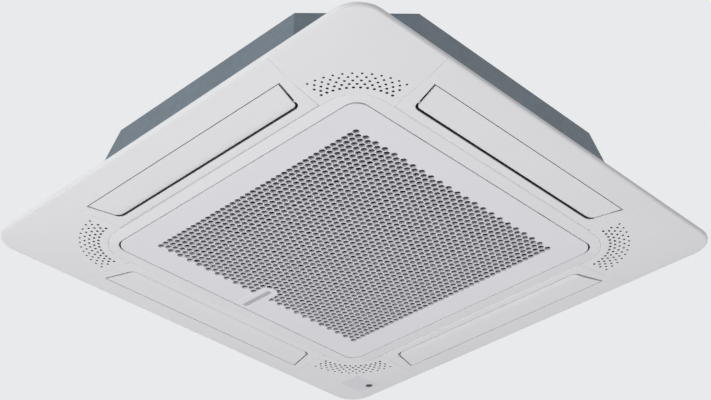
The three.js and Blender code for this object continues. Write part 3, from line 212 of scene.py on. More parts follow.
def repeat(name, places, item, material, body=None, seed=1, spin=False):
    """Copies of an item on places, each a point, the way the item's Z and X face, and a width if not 1."""
    carrier = bpy.data.meshes.new(name)
    carrier.from_pydata([place[0] for place in places], [], [])
    traits = {"facing": [place[1] for place in places], "upward": [place[2] for place in places],
              "width": [(*(place[3:] * 2 or (1, 1)), 1) for place in places]}
    for label, vectors in traits.items():
        layer = carrier.attributes.new(label, "FLOAT_VECTOR", "POINT")
        layer.data.foreach_set("vector", [v for vector in vectors for v in vector])
    made = new_piece(name, carrier)
    tree, entry, sockets = open_tree(name, {
        "Item": ("Object", item), "Spin": ("Float", math.tau if spin else 0.0), "Seed": ("Int", seed),
        "Finish": ("Material", material)})
    shape = add(tree, "GeometryNodeObjectInfo", {"Object": entry["Item"]})
    facing, upward, width = (
        add(tree, "GeometryNodeInputNamedAttribute", {"Name": label}, data_type="FLOAT_VECTOR").outputs[0]
        for label in traits)
    stand = add(tree, "FunctionNodeAxesToRotation", {0: facing, 1: upward},
                primary_axis="Z", secondary_axis="X")
    chance = add(tree, "FunctionNodeRandomValue", {3: entry["Spin"], "Seed": entry["Seed"]},
                 data_type="FLOAT")
    about = add(tree, "ShaderNodeCombineXYZ", {2: chance.outputs[1]})
    own_turn = add(tree, "FunctionNodeEulerToRotation", {0: about.outputs[0]})
    turned = add(tree, "FunctionNodeRotateRotation", {0: stand.outputs[0], 1: own_turn.outputs[0]},
                 rotation_space="LOCAL")
    copies = add(tree, "GeometryNodeInstanceOnPoints", {
        "Points": entry["Geometry"], "Instance": shape.outputs["Geometry"], "Rotation": turned.outputs[0],
        "Scale": width})
    real = add(tree, "GeometryNodeRealizeInstances", {0: copies.outputs[0]})
    run_tree(made, tree, entry, real, sockets)
    bpy.data.objects.remove(item)
    if body:
        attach(made, body)
    return made


crease = 40           # degrees over which a small item's edges stay crisp


def turned_item(name, profile, sides, smooth=True):
    """A round item about Z from a profile of radius and height in millimetres, top first."""
    work = bmesh.new()
    rings = []
    for radius, height in profile:
        rings.append([work.verts.new((radius * math.cos(math.tau * k / sides) * MM,
                                      radius * math.sin(math.tau * k / sides) * MM, height * MM))
                      for k in range(sides)] if radius else [work.verts.new((0, 0, height * MM))])
    for upper, lower in zip(rings, rings[1:]):
        for k in range(sides):
            loop = [upper[k % len(upper)], lower[k % len(lower)], lower[(k + 1) % len(lower)],
                    upper[(k + 1) % len(upper)]]
            face = work.faces.new(list(dict.fromkeys(loop)))
            face.smooth = smooth
    mesh = closed(work, bpy.data.meshes.new(name))
    if smooth:
        mesh.set_sharp_from_angle(angle=math.radians(crease))
    return new_piece(name, mesh)


def hex_screw():
    """Washer-faced hexagon head of a sheet metal screw."""
    washer = turned_item("washer", [(0, 0.9), (4.4, 0.7), (4.7, 0.0)], 20)
    head = turned_item("head", [(0, 2.3), (2.9, 2.3), (3.4, 2.0), (3.4, 0.5)], 6, smooth=False)
    both = bmesh.new()
    for part in (washer, head):
        both.from_mesh(part.data)
        bpy.data.objects.remove(part)
    return new_piece("hex_screw", closed(both, bpy.data.meshes.new("hex_screw")))


def steel_grain(tree, place):
    return blotches(tree, place, 25, 4), blotches(tree, place, 1.2, 3)


# zinc-plated screw steel: a clean bright metal, a little clouded by handling
bright_screw_steel = finish("bright_screw_steel", "B4B8BA", "8F9497", steel_grain, 0.01, (0.28, 0.42),
                            metallic=1.0)


def quarter_turn(count):
    """A turn of that many quarters about the unit's upright axis."""
    return Matrix.Rotation(count * math.pi / 2, 3, "Z")


for name in ("casing_wrap", "casing_top_plate"):
    rounded(name, 0.5, zinc_coated_steel)
casing_cut = 147 * MM        # length of the cut-off corners along each side
bead_height = 3 * MM         # the roof's pressed ribs stand this far above its rim
screw_inset = 9 * MM
roof_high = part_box("casing_top_plate")[1]
side_line = roof_high.x - screw_inset
cut_line = (2 * roof_high.x - casing_cut) / math.sqrt(2) - screw_inset
roof_spots = []
for side in range(4):
    # three screws along the side, then two along the cut-off corner after it
    for turn, line, spots in ((0, side_line, (-210, 0, 210)), (0.5, cut_line, (-60, 60))):
        for spot in spots:
            at = quarter_turn(side + turn) @ Vector((line, spot * MM, roof_high.z - bead_height))
            roof_spots.append((at, (0, 0, 1), (1, 0, 0)))
repeat("roof_screws", roof_spots, hex_screw(), bright_screw_steel, "unit", seed=3, spin=True)

# ---- Cable gland --------------------------------------------------------------------------
# A moulded polyamide gland that is pushed through the casing's wall and held by its nut. The
# supply cable enters here.

def moulded_grain(tree, place):
    return blotches(tree, place, 60), blotches(tree, place, 0.5, 1)


# grey polyamide: dull, with the fine erosion grain of the tool
grey_polyamide = finish("grey_polyamide", "6A6D70", "5C5F62", moulded_grain, 0.02, (0.5, 0.6))
rounded("cable_gland", 0.4, grey_polyamide)

# ---- Hanging brackets ---------------------------------------------------------------------
# Four folded brackets of thick zinc-coated steel on the casing's cut corners. Each is fixed by
# two screws and takes one threaded rod in its open slot.
corner_names = ("rear_right", "rear_left", "front_left", "front_right")
casing_half = 420 * MM       # the casing's half width at its foot
casing_foot = 2 * MM         # how high that foot is above the ceiling line
casing_draft = 0.241         # the walls lean in by this much for each mm of height
rod_place = (390 * MM, 340 * MM)         # the threaded rods, from the middle along X and Y
leaf_top = 88 * MM           # top edge of a bracket's upright leaf
leaf_face = 3.4 * MM         # there, the leaf's outer face is this far out from the wall
leaf_splay = 0.04            # and it stands off by this much more for each mm further down
screw_heights = (66 * MM, 80 * MM)
screw_spread = 18 * MM       # each way from the rod
bracket_spots = []
for corner in corner_names:
    name = "hanger_bracket_" + corner
    rounded(name, 0.6, zinc_coated_steel)
    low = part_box(name)[0]
    out = Vector((math.copysign(1, low.x), math.copysign(1, low.y), 0)).normalized()
    across = Vector((-out.y, out.x, 0))
    rod = Vector((math.copysign(rod_place[0], out.x), math.copysign(rod_place[1], out.y), 0))
    for side in (-1, 1):
        for height in screw_heights:
            half = casing_half - casing_draft * (height - casing_foot)
            away = (2 * half - casing_cut) / math.sqrt(2) + leaf_face + (leaf_top - height) * leaf_splay
            at = out * away + across * (rod.dot(across) + side * screw_spread) + Vector((0, 0, height))
            facing = (out + Vector((0, 0, casing_draft * math.sqrt(2)))).normalized()
            bracket_spots.append((at, facing, across))
repeat("bracket_screws", bracket_spots, hex_screw(), bright_screw_steel, "unit", seed=5, spin=True)

# ---- Foam lining and drain pan ------------------------------------------------------------
# Expanded polystyrene: a ring inside the walls, a slab under the roof, and the pan that both
# catches the water and leads the air to the outlets. It is fitted by hand and held by the panel.

def bead_foam(tree, place):
    beads = add(tree, "ShaderNodeTexVoronoi", {"Vector": place, "Scale": 1 / (3.2 * MM)},
                feature="SMOOTH_F1")
    return blotches(tree, place, 120), beads.outputs["Distance"]


# white beads welded together: chalky, with shallow domes where they touch the tool
expanded_polystyrene = finish("expanded_polystyrene", "E4E4DF", "D9D9D3", bead_foam, 0.12, (0.85, 0.95))
for name in ("insulation_liner", "insulation_roof", "drain_pan"):
    rounded(name, 1.6, expanded_polystyrene)


def rubber_bloom(tree, place):
    return blotches(tree, place, 18), blotches(tree, place, 0.8, 2)


# black rubber: no shine, slightly greyed where it has bloomed
black_rubber = finish("black_rubber", "2A2A2B", "1D1D1E", rubber_bloom, 0.02, (0.7, 0.85))
rounded("drain_plug", 0.6, black_rubber)

# ---- Cooling coil -------------------------------------------------------------------------
# Aluminium fins pressed on copper tubes, bent round the fan on three corners, with a steel end
# plate on each end. It stands in the pan's trough.

def fin_sheen(tree, place):
    return blotches(tree, place, 90, 3), blotches(tree, place, 2)


# thin blank aluminium: bright but uneven from handling
fin_aluminium = finish("fin_aluminium", "C3C6C8", "A6A9AC", fin_sheen, 0.02, (0.35, 0.5), metallic=0.9)
coil_low, coil_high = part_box("coil_fin_pack")
coil_depth = 44 * MM
coil_corner = 96 * MM        # bend radius of the coil's outside corners
fin_play = 0.4 * MM          # a fin is this much narrower than the coil
fin_foil = 0.25 * MM         # its foil, drawn thick enough to show
fin_pitch = 2.3 * MM
fin_size = Vector((coil_high.z - coil_low.z, coil_depth - fin_play, fin_foil))
front_start = -188 * MM      # the front leg starts at this x
left_end = 198 * MM          # and the left leg ends this far along its side


def block(name, low, high):
    """A plain block between two corners."""
    work = bmesh.new()
    bmesh.ops.create_cube(work, size=1.0, matrix=Matrix.Translation((low + high) / 2)
                          @ Matrix.Diagonal((*(high - low), 1)))
    return new_piece(name, closed(work, bpy.data.meshes.new(name)))


def coil_line():
    """Points along the coil's middle with their headings, from the front leg to the left leg."""
    half, bend = coil_high.x - coil_depth / 2, coil_corner - coil_depth / 2
    straight = half - bend
    legs = [(front_start, straight)] + [(-straight, straight)] * 2 + [(-straight, left_end)]
    for leg, (start, end) in enumerate(legs):
        turn = quarter_turn(leg)
        for k in range(round((end - start) / fin_pitch)):
            yield turn @ Vector((start + k * fin_pitch, -half, 0)), turn @ Vector((1, 0, 0))
        arc_steps = round(bend * math.pi / 2 / fin_pitch)
        for k in range(arc_steps if leg < 3 else 0):
            swing = quarter_turn(k / arc_steps)
            at = Vector((straight, -straight, 0)) + swing @ Vector((0, -bend, 0))
            yield turn @ at, turn @ swing @ Vector((1, 0, 0))


raised = Vector((0, 0, (coil_low.z + coil_high.z) / 2))
fin_places = [(at + raised, heading, (0, 0, 1)) for at, heading in coil_line()]
fins = repeat("coil_fins", fin_places, block("fin", -fin_size / 2, fin_size / 2), fin_aluminium)
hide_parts("coil_fin_pack")
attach(fins, "unit")


def tube_tarnish(tree, place):
    return blotches(tree, place, 30, 4), blotches(tree, place, 4)


# drawn copper: warm, dulled in clouds by handling and brazing
drawn_copper = finish("drawn_copper", "C98A63", "A2674A", tube_tarnish, 0.01, (0.25, 0.45), metallic=1.0)
# turned brass: paler than the copper and smoother from the lathe
turned_brass = finish("turned_brass", "C9AC62", "B0944F", tube_tarnish, 0.01, (0.22, 0.35), metallic=1.0)
barrel = 50                  # facet of tubes and turned parts, whose flats meet at less than this
rounded("coil_return_plate", 0.2, drawn_copper, facet=barrel)
rounded("coil_header_plate", 0.3, zinc_coated_steel)
for name in ("gas_pipe", "liquid_pipe"):
    rounded(name, 0.3, drawn_copper, facet=barrel)
for name in ("gas_flare_nut", "liquid_flare_nut"):
    rounded(name, 0.5, turned_brass, facet=barrel)

# ---- Condensate pump ----------------------------------------------------------------------
# A lift pump with its impeller down in the trough, a float that starts it, and a rubber hose to
# the drain connection in the wall. Pump and switch hang on brackets from the foam's edge.
for name in ("drain_pump", "float_switch", "drain_spigot"):
    rounded(name, 0.5, grey_polyamide, facet=barrel)
rounded("pump_hose", 0.3, black_rubber, facet=barrel)


def foam_skin(tree, place):
    return blotches(tree, place, 8), blotches(tree, place, 0.7, 2)


# the float's closed-cell foam and the impeller's acetal are both a plain off-white
off_white_foam = finish("off_white_foam", "E2E1DC", "D4D3CD", foam_skin, 0.05, (0.6, 0.75))
rounded("float", 0.5, off_white_foam, facet=barrel)
rounded("pump_impeller", 0.2, off_white_foam, facet=barrel)

# ---- Fan and its motor --------------------------------------------------------------------
# A flat motor hangs under the roof on three rubber bushes. Its shaft carries the turbo fan, a
# welded pair of mouldings, which a nut holds against the dome of the hub.
rounded("fan_motor", 0.8, zinc_coated_steel, facet=barrel)
for side in ("rear", "left", "right"):
    rounded("motor_bush_" + side, 0.6, black_rubber, facet=barrel)
dress(nodes["motor_shaft"], bright_screw_steel)
rounded("fan_nut", 0.4, bright_screw_steel, facet=barrel)

# glass-filled polypropylene: dark grey and satin, with faint flow marks
fan_polypropylene = finish("fan_polypropylene", "4B4E52", "3F4246", moulded_grain, 0.015, (0.42, 0.52))
rounded("turbo_fan", 0.5, fan_polypropylene, facet=barrel)

# ---- Bell mouth and control box -----------------------------------------------------------
# The bell mouth is moulded with its square plate and screwed to the pan from below. The control
# box is folded steel with a board on posts and a terminal block beside it.

def panel_grain(tree, place):
    return blotches(tree, place, 140), blotches(tree, place, 0.35, 1)


# grey polystyrene: the panel's plastic in a plain grey, since it is out of sight
grey_polystyrene = finish("grey_polystyrene", "A9ABAF", "9FA1A5", panel_grain, 0.012, (0.45, 0.55))
rounded("bell_mouth", 0.5, grey_polystyrene, facet=barrel)
for name in ("control_box", "control_box_lid"):
    rounded(name, 0.4, zinc_coated_steel)
bell_screw = 244.5 * MM      # each way from the middle, in the corners of the bell mouth's plate
lid_screw = 122 * MM         # each way along the lid
lid_inset = 8 * MM           # in from its edges
bell_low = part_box("bell_mouth")[0]
lid_low, lid_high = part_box("control_box_lid")
low_spots = [(x, y, bell_low.z) for x in (-bell_screw, bell_screw) for y in (-bell_screw, bell_screw)]
low_spots += [(x, y, lid_low.z) for x in (lid_low.x + lid_inset, lid_high.x - lid_inset)
              for y in (-lid_screw, lid_screw)]
repeat("bell_and_lid_screws", [(at, (0, 0, -1), (1, 0, 0)) for at in low_spots], hex_screw(),
       bright_screw_steel, "unit", seed=8, spin=True)


def solder_mask(tree, place):
    tracks = add(tree, "ShaderNodeTexBrick", {"Vector": place, "Scale": 1 / (9 * MM),
                                              "Mortar Size": 0.012}).outputs["Fac"]
    return tracks, tracks


# circuit board: green lacquer over lighter copper tracks
green_solder_mask = finish("green_solder_mask", "2C6A46", "3D8158", solder_mask, 0.04, (0.3, 0.38))
rounded("control_board", 0.2, green_solder_mask)
# undyed polyamide: a warm off-white, dull
natural_polyamide = finish("natural_polyamide", "DDDACD", "D3D0C2", moulded_grain, 0.02, (0.45, 0.55))
rounded("terminal_block", 0.4, natural_polyamide)

# ---- Panel --------------------------------------------------------------------------------
# The moulded frame that is seen from the room, with four outlets, hung on the casing by four
# screws under its corner covers. A foam strip seals it against the pan.

# white polystyrene: even and satin, with a very fine matt grain
white_polystyrene = finish("white_polystyrene", "E5E5E7", "E1E1E3", panel_grain, 0.012, (0.42, 0.5))
# painted shade: a dull dark grey laid where only shade falls, on the outlets' walls, on the louvers' edges
# and in the covers' holes, so that the gaps round the louvers read as slots
painted_shade_lining = finish("painted_shade_lining", "525258", "48484E", panel_grain, 0.1, (0.8, 0.9))
panel_facet = 40
line_half = 340 * MM         # the faint line round the grille, where the face changes its slope
line_width = 4.0 * MM        # it is a soft step between the covers, this wide to each side
line_step = 0.3 * MM         # and this deep
line_low = -17.4 * MM        # near it, what is lower than this is the panel's face and not its back
crisp_round = 0.7 * MM       # small round on the edges of the outlets and of the grille's opening
crisp_angle = 60             # their faces meet at more degrees than this
crisp_length = 1.5 * MM      # shorter edges are left as they are,
crisp_low = -14.2 * MM       # and so are those that lie higher than this
crisp_half = 424 * MM        # or further out than this
outlet_half_length = 250.8 * MM          # the painted shade of the dark lining keeps within this of an outlet's middle
wall_from, wall_to = 357 * MM, 372 * MM      # the outlets' walls next to the grille stand between these
shade_from_z = -15.6 * MM        # the painted shade of the dark lining starts a little inside each outlet


def off_centre(point):
    """How far a point is from the unit's middle, towards the side that it is nearest to."""
    return max(abs(point.x), abs(point.y))


def on_line(vertex):
    """Whether a vertex of the face lies on the line round the grille."""
    return vertex.co.z < line_low and any(abs(abs(vertex.co[axis]) - line_half) < 0.02 * MM
                                          for axis in (0, 1))


def is_crisp(edge):
    """Whether an edge is a sharp one of the openings in the panel's face."""
    return (edge.calc_face_angle(0) > math.radians(crisp_angle) and edge.calc_length() > crisp_length
            and all(v.co.z < crisp_low and off_centre(v.co) < crisp_half for v in edge.verts))


def on_inner_wall(middle, normal):
    """Whether a face is part of an outlet's upright wall next to the grille."""
    return wall_from < off_centre(middle) < wall_to and abs(normal.z) < 0.7


panel = rounded("panel_frame", 0, white_polystyrene, facet=panel_facet)
panel_work = opened(panel)
bmesh.ops.bevel(panel_work, geom=[e for e in panel_work.edges if is_crisp(e)], offset=crisp_round,
                segments=2, affect="EDGES", profile=0.5, clamp_overlap=False)
bmesh.ops.bevel(panel_work, geom=[e for e in panel_work.edges if all(on_line(v) for v in e.verts)],
                offset=line_width, segments=2, affect="EDGES", profile=0.5)
for vertex in panel_work.verts:
    off_line = off_centre(vertex.co) - line_half
    if vertex.co.z < line_low and abs(abs(off_line) - line_width) < 0.1 * MM:
        vertex.co.z -= math.copysign(line_step, off_line)
walls = [f for f in panel_work.faces if on_inner_wall(f.calc_center_median(), f.normal)]
wall_parts = list(dict.fromkeys(g for f in walls for g in (*f.verts, *f.edges, f)))
bmesh.ops.bisect_plane(panel_work, geom=wall_parts, plane_co=(0, 0, shade_from_z), plane_no=(0, 0, 1))
closed(panel_work, panel.data)
flatten(panel, panel_facet + past_facet)
# painted shade: the upper part of each outlet's wall next to the grille takes the dark lining, where the gap
# falls into shade
panel.data.materials.append(painted_shade_lining)
for face in panel.data.polygons:
    in_outlet = min(abs(face.center.x), abs(face.center.y)) < outlet_half_length
    if in_outlet and on_inner_wall(face.center, face.normal) and face.center.z > shade_from_z:
        face.material_index = 1
# strip of polyethylene foam: dull and dark, with small cells that catch no light
polyethylene_foam = finish("polyethylene_foam", "5C5C5E", "505052", foam_skin, 0.2, (0.8, 0.9))
rounded("panel_seal", 0.5, polyethylene_foam)

# ---- Louvers ------------------------------------------------------------------------------
# One curved blade in each outlet, on two pins, turned by its own stepper motor through the pin
# at one end.
curl_start = 377 * MM        # the edge towards the grille curls up into the outlet from here
curl_width = 14 * MM
curl_rise = 2.7 * MM
curl_cuts, curl_step = 6, 2.4 * MM       # cuts across it, so that it bends
pins_low = -13.6 * MM        # just under the pins: what lies higher doesn't curl
shade_strip_from = 421.2 * MM      # painted shade: a dark strip of the lining along the edge towards the wall, where the gap falls into shade
for quarter, side in enumerate(("right", "rear", "left", "front")):
    rounded("louver_motor_" + side, 0.4, zinc_coated_steel, facet=barrel)
    blade = rounded("louver_" + side, 0.9, white_polystyrene, facet=panel_facet)
    outward = quarter_turn(quarter) @ Vector((1, 0, 0))
    blade_work = opened(blade)
    for step in range(curl_cuts):
        cut = curl_start - step * curl_step
        bmesh.ops.bisect_plane(blade_work, geom=[*blade_work.verts, *blade_work.edges, *blade_work.faces],
                               plane_co=outward * cut, plane_no=outward)
    for vertex in blade_work.verts:
        inside = curl_start - vertex.co.dot(outward)
        if inside > 0 and vertex.co.z < pins_low:
            vertex.co.z += curl_rise * (inside / curl_width) ** 2
    closed(blade_work, blade.data)
    flatten(blade, panel_facet + past_facet)
    # painted shade: the blade's edge towards the wall takes the dark lining
    blade.data.materials.append(painted_shade_lining)
    for face in blade.data.polygons:
        if face.center.dot(outward) > shade_strip_from and face.normal.dot(outward) > 0.5:
            face.material_index = 1

# ---- Corner covers ------------------------------------------------------------------------
# Four snapped-in covers over the hanging points. Each has rows of small round holes on arcs
# about a point of the grille's corner, and one carries the remote receiver's lens.
dot_centre = Vector((0.27, 0.27, 0))
dot_rows = ((88.0, 12), (96.5, 11), (105.0, 12), (113.5, 11), (122.0, 12))     # radius in mm, and holes
dot_most = 12                # holes in a full row
dot_spread = math.radians(80)
drill_radius = 2.0           # of a hole of width 1; this and the length are in mm
drill_length = 25.0
dot_width, dot_taper = 1.32, 0.0075     # width of the first row's holes, and how much less for each mm out
patch_spans = ((-404.5, 32.5), (-384.0, 27.0))     # smoked patch, along X and Y: its middle and half width


def dot_places(quarter):
    """Where the holes of one cover are, all drilled upwards."""
    turn = quarter_turn(quarter)
    for radius, count in dot_rows:
        for k in range(count):
            lean = math.pi / 4 + dot_spread * ((k + 0.5 * (dot_most - count)) / (dot_most - 1) - 0.5)
            at = dot_centre + Vector((math.cos(lean), math.sin(lean), 0)) * radius * MM
            width = dot_width - dot_taper * (radius - dot_rows[0][0])
            yield turn @ (at + Vector((0, 0, -drill_length * MM))), (0, 0, 1), (1, 0, 0), width


def receiver_tint(tree, place):
    """The cover's own tone, but for a smoked patch beside the lens."""
    axes = add(tree, "ShaderNodeSeparateXYZ", {0: place}).outputs
    inside = 1.0
    for axis, (middle, half) in zip(axes, patch_spans):
        for step, by in (("SUBTRACT", middle * MM), ("ABSOLUTE", 0.0), ("LESS_THAN", half * MM),
                         ("MULTIPLY", inside)):
            axis = add(tree, "ShaderNodeMath", {0: axis, 1: by}, operation=step).outputs[0]
        inside = axis
    return inside, blotches(tree, place, 0.35, 1)


def cut_away(made, cutter):
    """Takes a cutter's shape out of a piece; what it lays bare takes the cutter's finish, if it has one."""
    boolean = made.modifiers.new("cut", "BOOLEAN")
    boolean.object = cutter
    boolean.solver = "EXACT"
    boolean.material_mode = "TRANSFER" if cutter.data.materials else "INDEX"
    settle(made)
    bpy.data.objects.remove(cutter)


# the panel's white again, but where infrared passes a patch is a shade darker and glossier
receiver_polystyrene = finish("receiver_polystyrene", "E3E3E5", "D9D9DD", receiver_tint, 0.012, (0.42, 0.36))
for quarter, corner in enumerate(corner_names):
    cover_white = receiver_polystyrene if corner == "front_left" else white_polystyrene
    cover = rounded("corner_cover_" + corner, 0.4, cover_white, facet=panel_facet)
    drill = turned_item("drill", [(0, drill_length), (drill_radius, drill_length), (drill_radius, 0.0),
                                  (0, 0.0)], 12, smooth=False)
    # painted shade: the holes' walls take the dark lining, so that the dots read dark
    cut_away(cover, repeat("drills", list(dot_places(quarter)), drill, painted_shade_lining))
    flatten(cover, crease)

# smoked polycarbonate that passes infrared: black with a clear gloss
smoked_polycarbonate = finish("smoked_polycarbonate", "202126", "191A1E", moulded_grain, 0.0, (0.12, 0.18))
rounded("receiver_lens", 0.3, smoked_polycarbonate, facet=barrel)

# ---- Intake grille: frame, hinges, latches and filter -------------------------------------
# A moulded frame behind the perforated plate hangs on two pins and shuts with two sliding
# latches. The filter's net lies in it and lifts out for washing.

# black polyamide: the two latches read as dark spots behind the holes
black_polyamide = finish("black_polyamide", "1F2022", "18191B", moulded_grain, 0.02, (0.5, 0.6))
for side in ("right", "left"):
    rounded("hinge_bracket_" + side, 0.3, zinc_coated_steel)
    rounded("grille_latch_" + side, 0.5, black_polyamide)
# painted shade: the frames behind the plate are drawn a dull dark grey polystyrene, which stands in for the
# shade behind the plate's holes and keeps them dark
shade_grey_polystyrene = finish("shade_grey_polystyrene", "45474B", "3E4044", moulded_grain, 0.02, (0.5, 0.6))
grille_frame = rounded("grille_frame", 0.4, shade_grey_polystyrene)
rounded("filter_frame", 0.4, shade_grey_polystyrene)
# the frame's bars start higher than in the solid, clear of the fine plate's deeper webs
bars_low, bars_half, bars_lift = -16.4 * MM, 262 * MM, 2.5 * MM
for vertex in grille_frame.data.vertices:
    if vertex.co.z < bars_low and off_centre(vertex.co) < bars_half:
        vertex.co.z += bars_lift
thread_pitch = 1.3 * MM
thread_share = 0.42          # of the pitch, drawn thick enough to show


def thread_mask(tree, place):
    """One where a thread of the net runs, zero in its meshes."""
    axes = add(tree, "ShaderNodeSeparateXYZ", {0: place}).outputs
    threads = []
    for axis in axes[:2]:
        for step, by in (("DIVIDE", thread_pitch), ("FRACT", 0.0), ("LESS_THAN", thread_share)):
            axis = add(tree, "ShaderNodeMath", {0: axis, 1: by}, operation=step).outputs[0]
        threads.append(axis)
    return add(tree, "ShaderNodeMath", {0: threads[0], 1: threads[1]}, operation="MAXIMUM").outputs[0]


def net(name, colour):
    """Woven threads with open meshes between them."""
    material, tree, place = bare_material(name)
    thread = add(tree, "ShaderNodeBsdfPrincipled", {"Base Color": linear(colour), "Roughness": 0.7})
    gap = add(tree, "ShaderNodeBsdfTransparent")
    both = add(tree, "ShaderNodeMixShader", {
        0: thread_mask(tree, place), 1: gap.outputs[0], 2: thread.outputs[0]})
    add(tree, "ShaderNodeOutputMaterial", {"Surface": both.outputs[0]})
    return material


# polypropylene net: thin dark grey threads that the fan and the coil show through
polypropylene_net = net("polypropylene_net", "484A4F")
rounded("filter_mesh", 0, polypropylene_net)

# ---- Perforated plate ---------------------------------------------------------------------
# One steel plate with hexagonal holes in staggered columns, its edge folded up, painted as the
# panel. It is screwed to the moulded frame behind it.
row_pitch = 13.2 * MM
column_pitch = row_pitch * math.sqrt(3) / 2
columns, rows = 45, 39
hole_across = 11.2 * MM
hole_chamfer = 0.3 * MM
plate_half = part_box("grille_plate")[1].x
plate_round = 28 * MM
face_z = -19.0 * MM
plate_depth = 4.0            # of the webs between the holes, in mm
back_z = face_z + plate_depth * MM
# the edge from the face round its bend, up the fold and down again: inset, and height above the face, in mm
edge_profile = ((1.4, 0.0), (0.9, 0.2), (0.7, 0.7), (0.7, 8.0), (2.2, 8.0), (2.2, plate_depth))


def hole_cell():
    """One cell of the plate with its hole, open at its six outer sides."""
    hole, corner = hole_across / math.sqrt(3), row_pitch / math.sqrt(3)
    rings = [(corner, face_z), (hole + hole_chamfer, face_z), (hole, face_z + hole_chamfer),
             (hole, back_z), (corner, back_z)]
    points = [(r * math.cos(k * math.pi / 3), r * math.sin(k * math.pi / 3), z) for r, z in rings
              for k in range(6)]
    faces = [(ring * 6 + (k + 1) % 6, ring * 6 + k, ring * 6 + 6 + k, ring * 6 + 6 + (k + 1) % 6)
             for ring in range(len(rings) - 1) for k in range(6)]
    mesh = bpy.data.meshes.new("hole_cell")
    mesh.from_pydata(points, [], faces)
    return new_piece("hole_cell", mesh)


def hole_field(material):
    """Staggered columns of the cell, joined at their edges."""
    made = new_piece("perforated_plate", bpy.data.meshes.new("perforated_plate"))
    cell = hole_cell()
    tree, entry, sockets = open_tree("hole_field", {
        "Cell": ("Object", cell), "Columns": ("Int", columns), "Rows": ("Int", rows),
        "Column pitch": ("Float", column_pitch), "Row pitch": ("Float", row_pitch),
        "Finish": ("Material", material)})
    spans = []               # width and depth of the field, from hole to hole
    for count, pitch in (("Columns", "Column pitch"), ("Rows", "Row pitch")):
        gaps = add(tree, "ShaderNodeMath", {0: entry[count], 1: 1.0}, operation="SUBTRACT").outputs[0]
        spans.append(add(tree, "ShaderNodeMath", {0: gaps, 1: entry[pitch]}, operation="MULTIPLY").outputs[0])
    grid = add(tree, "GeometryNodeMeshGrid", {
        "Size X": spans[0], "Size Y": spans[1], "Vertices X": entry["Columns"], "Vertices Y": entry["Rows"]})
    axes = add(tree, "ShaderNodeSeparateXYZ", {0: add(tree, "GeometryNodeInputPosition").outputs[0]}).outputs
    # every second column, counted from the middle, moves on by half a row
    shift = axes[0]
    for step, by in (("DIVIDE", entry["Column pitch"]), ("ROUND", 0.0), ("ABSOLUTE", 0.0), ("MODULO", 2.0),
                     ("MULTIPLY", entry["Row pitch"]), ("MULTIPLY", 0.5)):
        shift = add(tree, "ShaderNodeMath", {0: shift, 1: by}, operation=step).outputs[0]
    offset = add(tree, "ShaderNodeCombineXYZ", {1: shift})
    staggered = add(tree, "GeometryNodeSetPosition", {
        "Geometry": grid.outputs[0], "Offset": offset.outputs[0]})
    # and loses the hole that would then stand past the others
    last = add(tree, "ShaderNodeMath", {0: spans[1], 1: 0.5, 2: 1 * MM}, operation="MULTIPLY_ADD")
    spare = add(tree, "ShaderNodeMath", {0: axes[1], 1: last.outputs[0]}, operation="GREATER_THAN")
    kept = add(tree, "GeometryNodeDeleteGeometry", {
        "Geometry": staggered.outputs[0], "Selection": spare.outputs[0]}, domain="POINT")
    shape = add(tree, "GeometryNodeObjectInfo", {"Object": entry["Cell"]})
    copies = add(tree, "GeometryNodeInstanceOnPoints", {
        "Points": kept.outputs[0], "Instance": shape.outputs["Geometry"]})
    real = add(tree, "GeometryNodeRealizeInstances", {0: copies.outputs[0]})
    joined = add(tree, "GeometryNodeMergeByDistance", {"Geometry": real.outputs[0], "Distance": 0.02 * MM})
    run_tree(made, tree, entry, joined, sockets)
    bpy.data.objects.remove(cell)
    return made


def ring_line(inset, steps=8):
    """Outline of the plate, drawn in by inset: a square with round corners."""
    half, radius = plate_half - inset, plate_round - inset
    line = []
    for corner in range(4):
        middle = Matrix.Rotation(corner * math.pi / 2, 2) @ Vector((half - radius, half - radius))
        for k in range(steps + 1):
            lean = (corner + k / steps) * math.pi / 2
            line.append(middle + Vector((math.cos(lean), math.sin(lean))) * radius)
    return line


def close_field(work, outer, z, upward):
    """Fills the flat stretch between the hole field's ragged edge and an outline."""
    ragged = [e for e in work.edges if e.is_boundary and all(abs(v.co.z - z) < 1e-6 for v in e.verts)]
    spots = list(dict.fromkeys(v for e in ragged for v in e.verts))
    number = {v: k for k, v in enumerate(spots)}
    edges = [(number[e.verts[0]], number[e.verts[1]]) for e in ragged]
    walls = [(spots[a].co.xy.copy(), spots[b].co.xy.copy()) for a, b in edges]
    first = len(spots)
    edges += [(first + k, first + (k + 1) % len(outer)) for k in range(len(outer))]
    flat, _, faces, *_ = delaunay_2d_cdt([v.co.xy for v in spots] + outer, edges, [], 0, 1e-7)
    corners = [work.verts.new((p.x, p.y, z)) for p in flat]
    for face in faces:
        middle = sum((flat[k] for k in face), Vector((0, 0))) / 3
        crossed = sum(1 for a, b in walls if (a.y > middle.y) != (b.y > middle.y)
                      and middle.x < a.x + (middle.y - a.y) / (b.y - a.y) * (b.x - a.x))
        if crossed % 2 == 0:
            order = face if upward else face[::-1]
            work.faces.new([corners[k] for k in order])


def skirt(work, levels):
    """Strips between outlines, each an inset and a height, round the plate's edge."""
    rings = [[work.verts.new((p.x, p.y, z)) for p in ring_line(inset)] for inset, z in levels]
    for lower, upper in zip(rings, rings[1:]):
        for k in range(len(lower)):
            after = (k + 1) % len(lower)
            work.faces.new((lower[k], lower[after], upper[after], upper[k]))


def orange_peel(tree, place):
    return blotches(tree, place, 140), blotches(tree, place, 1.6, 1)


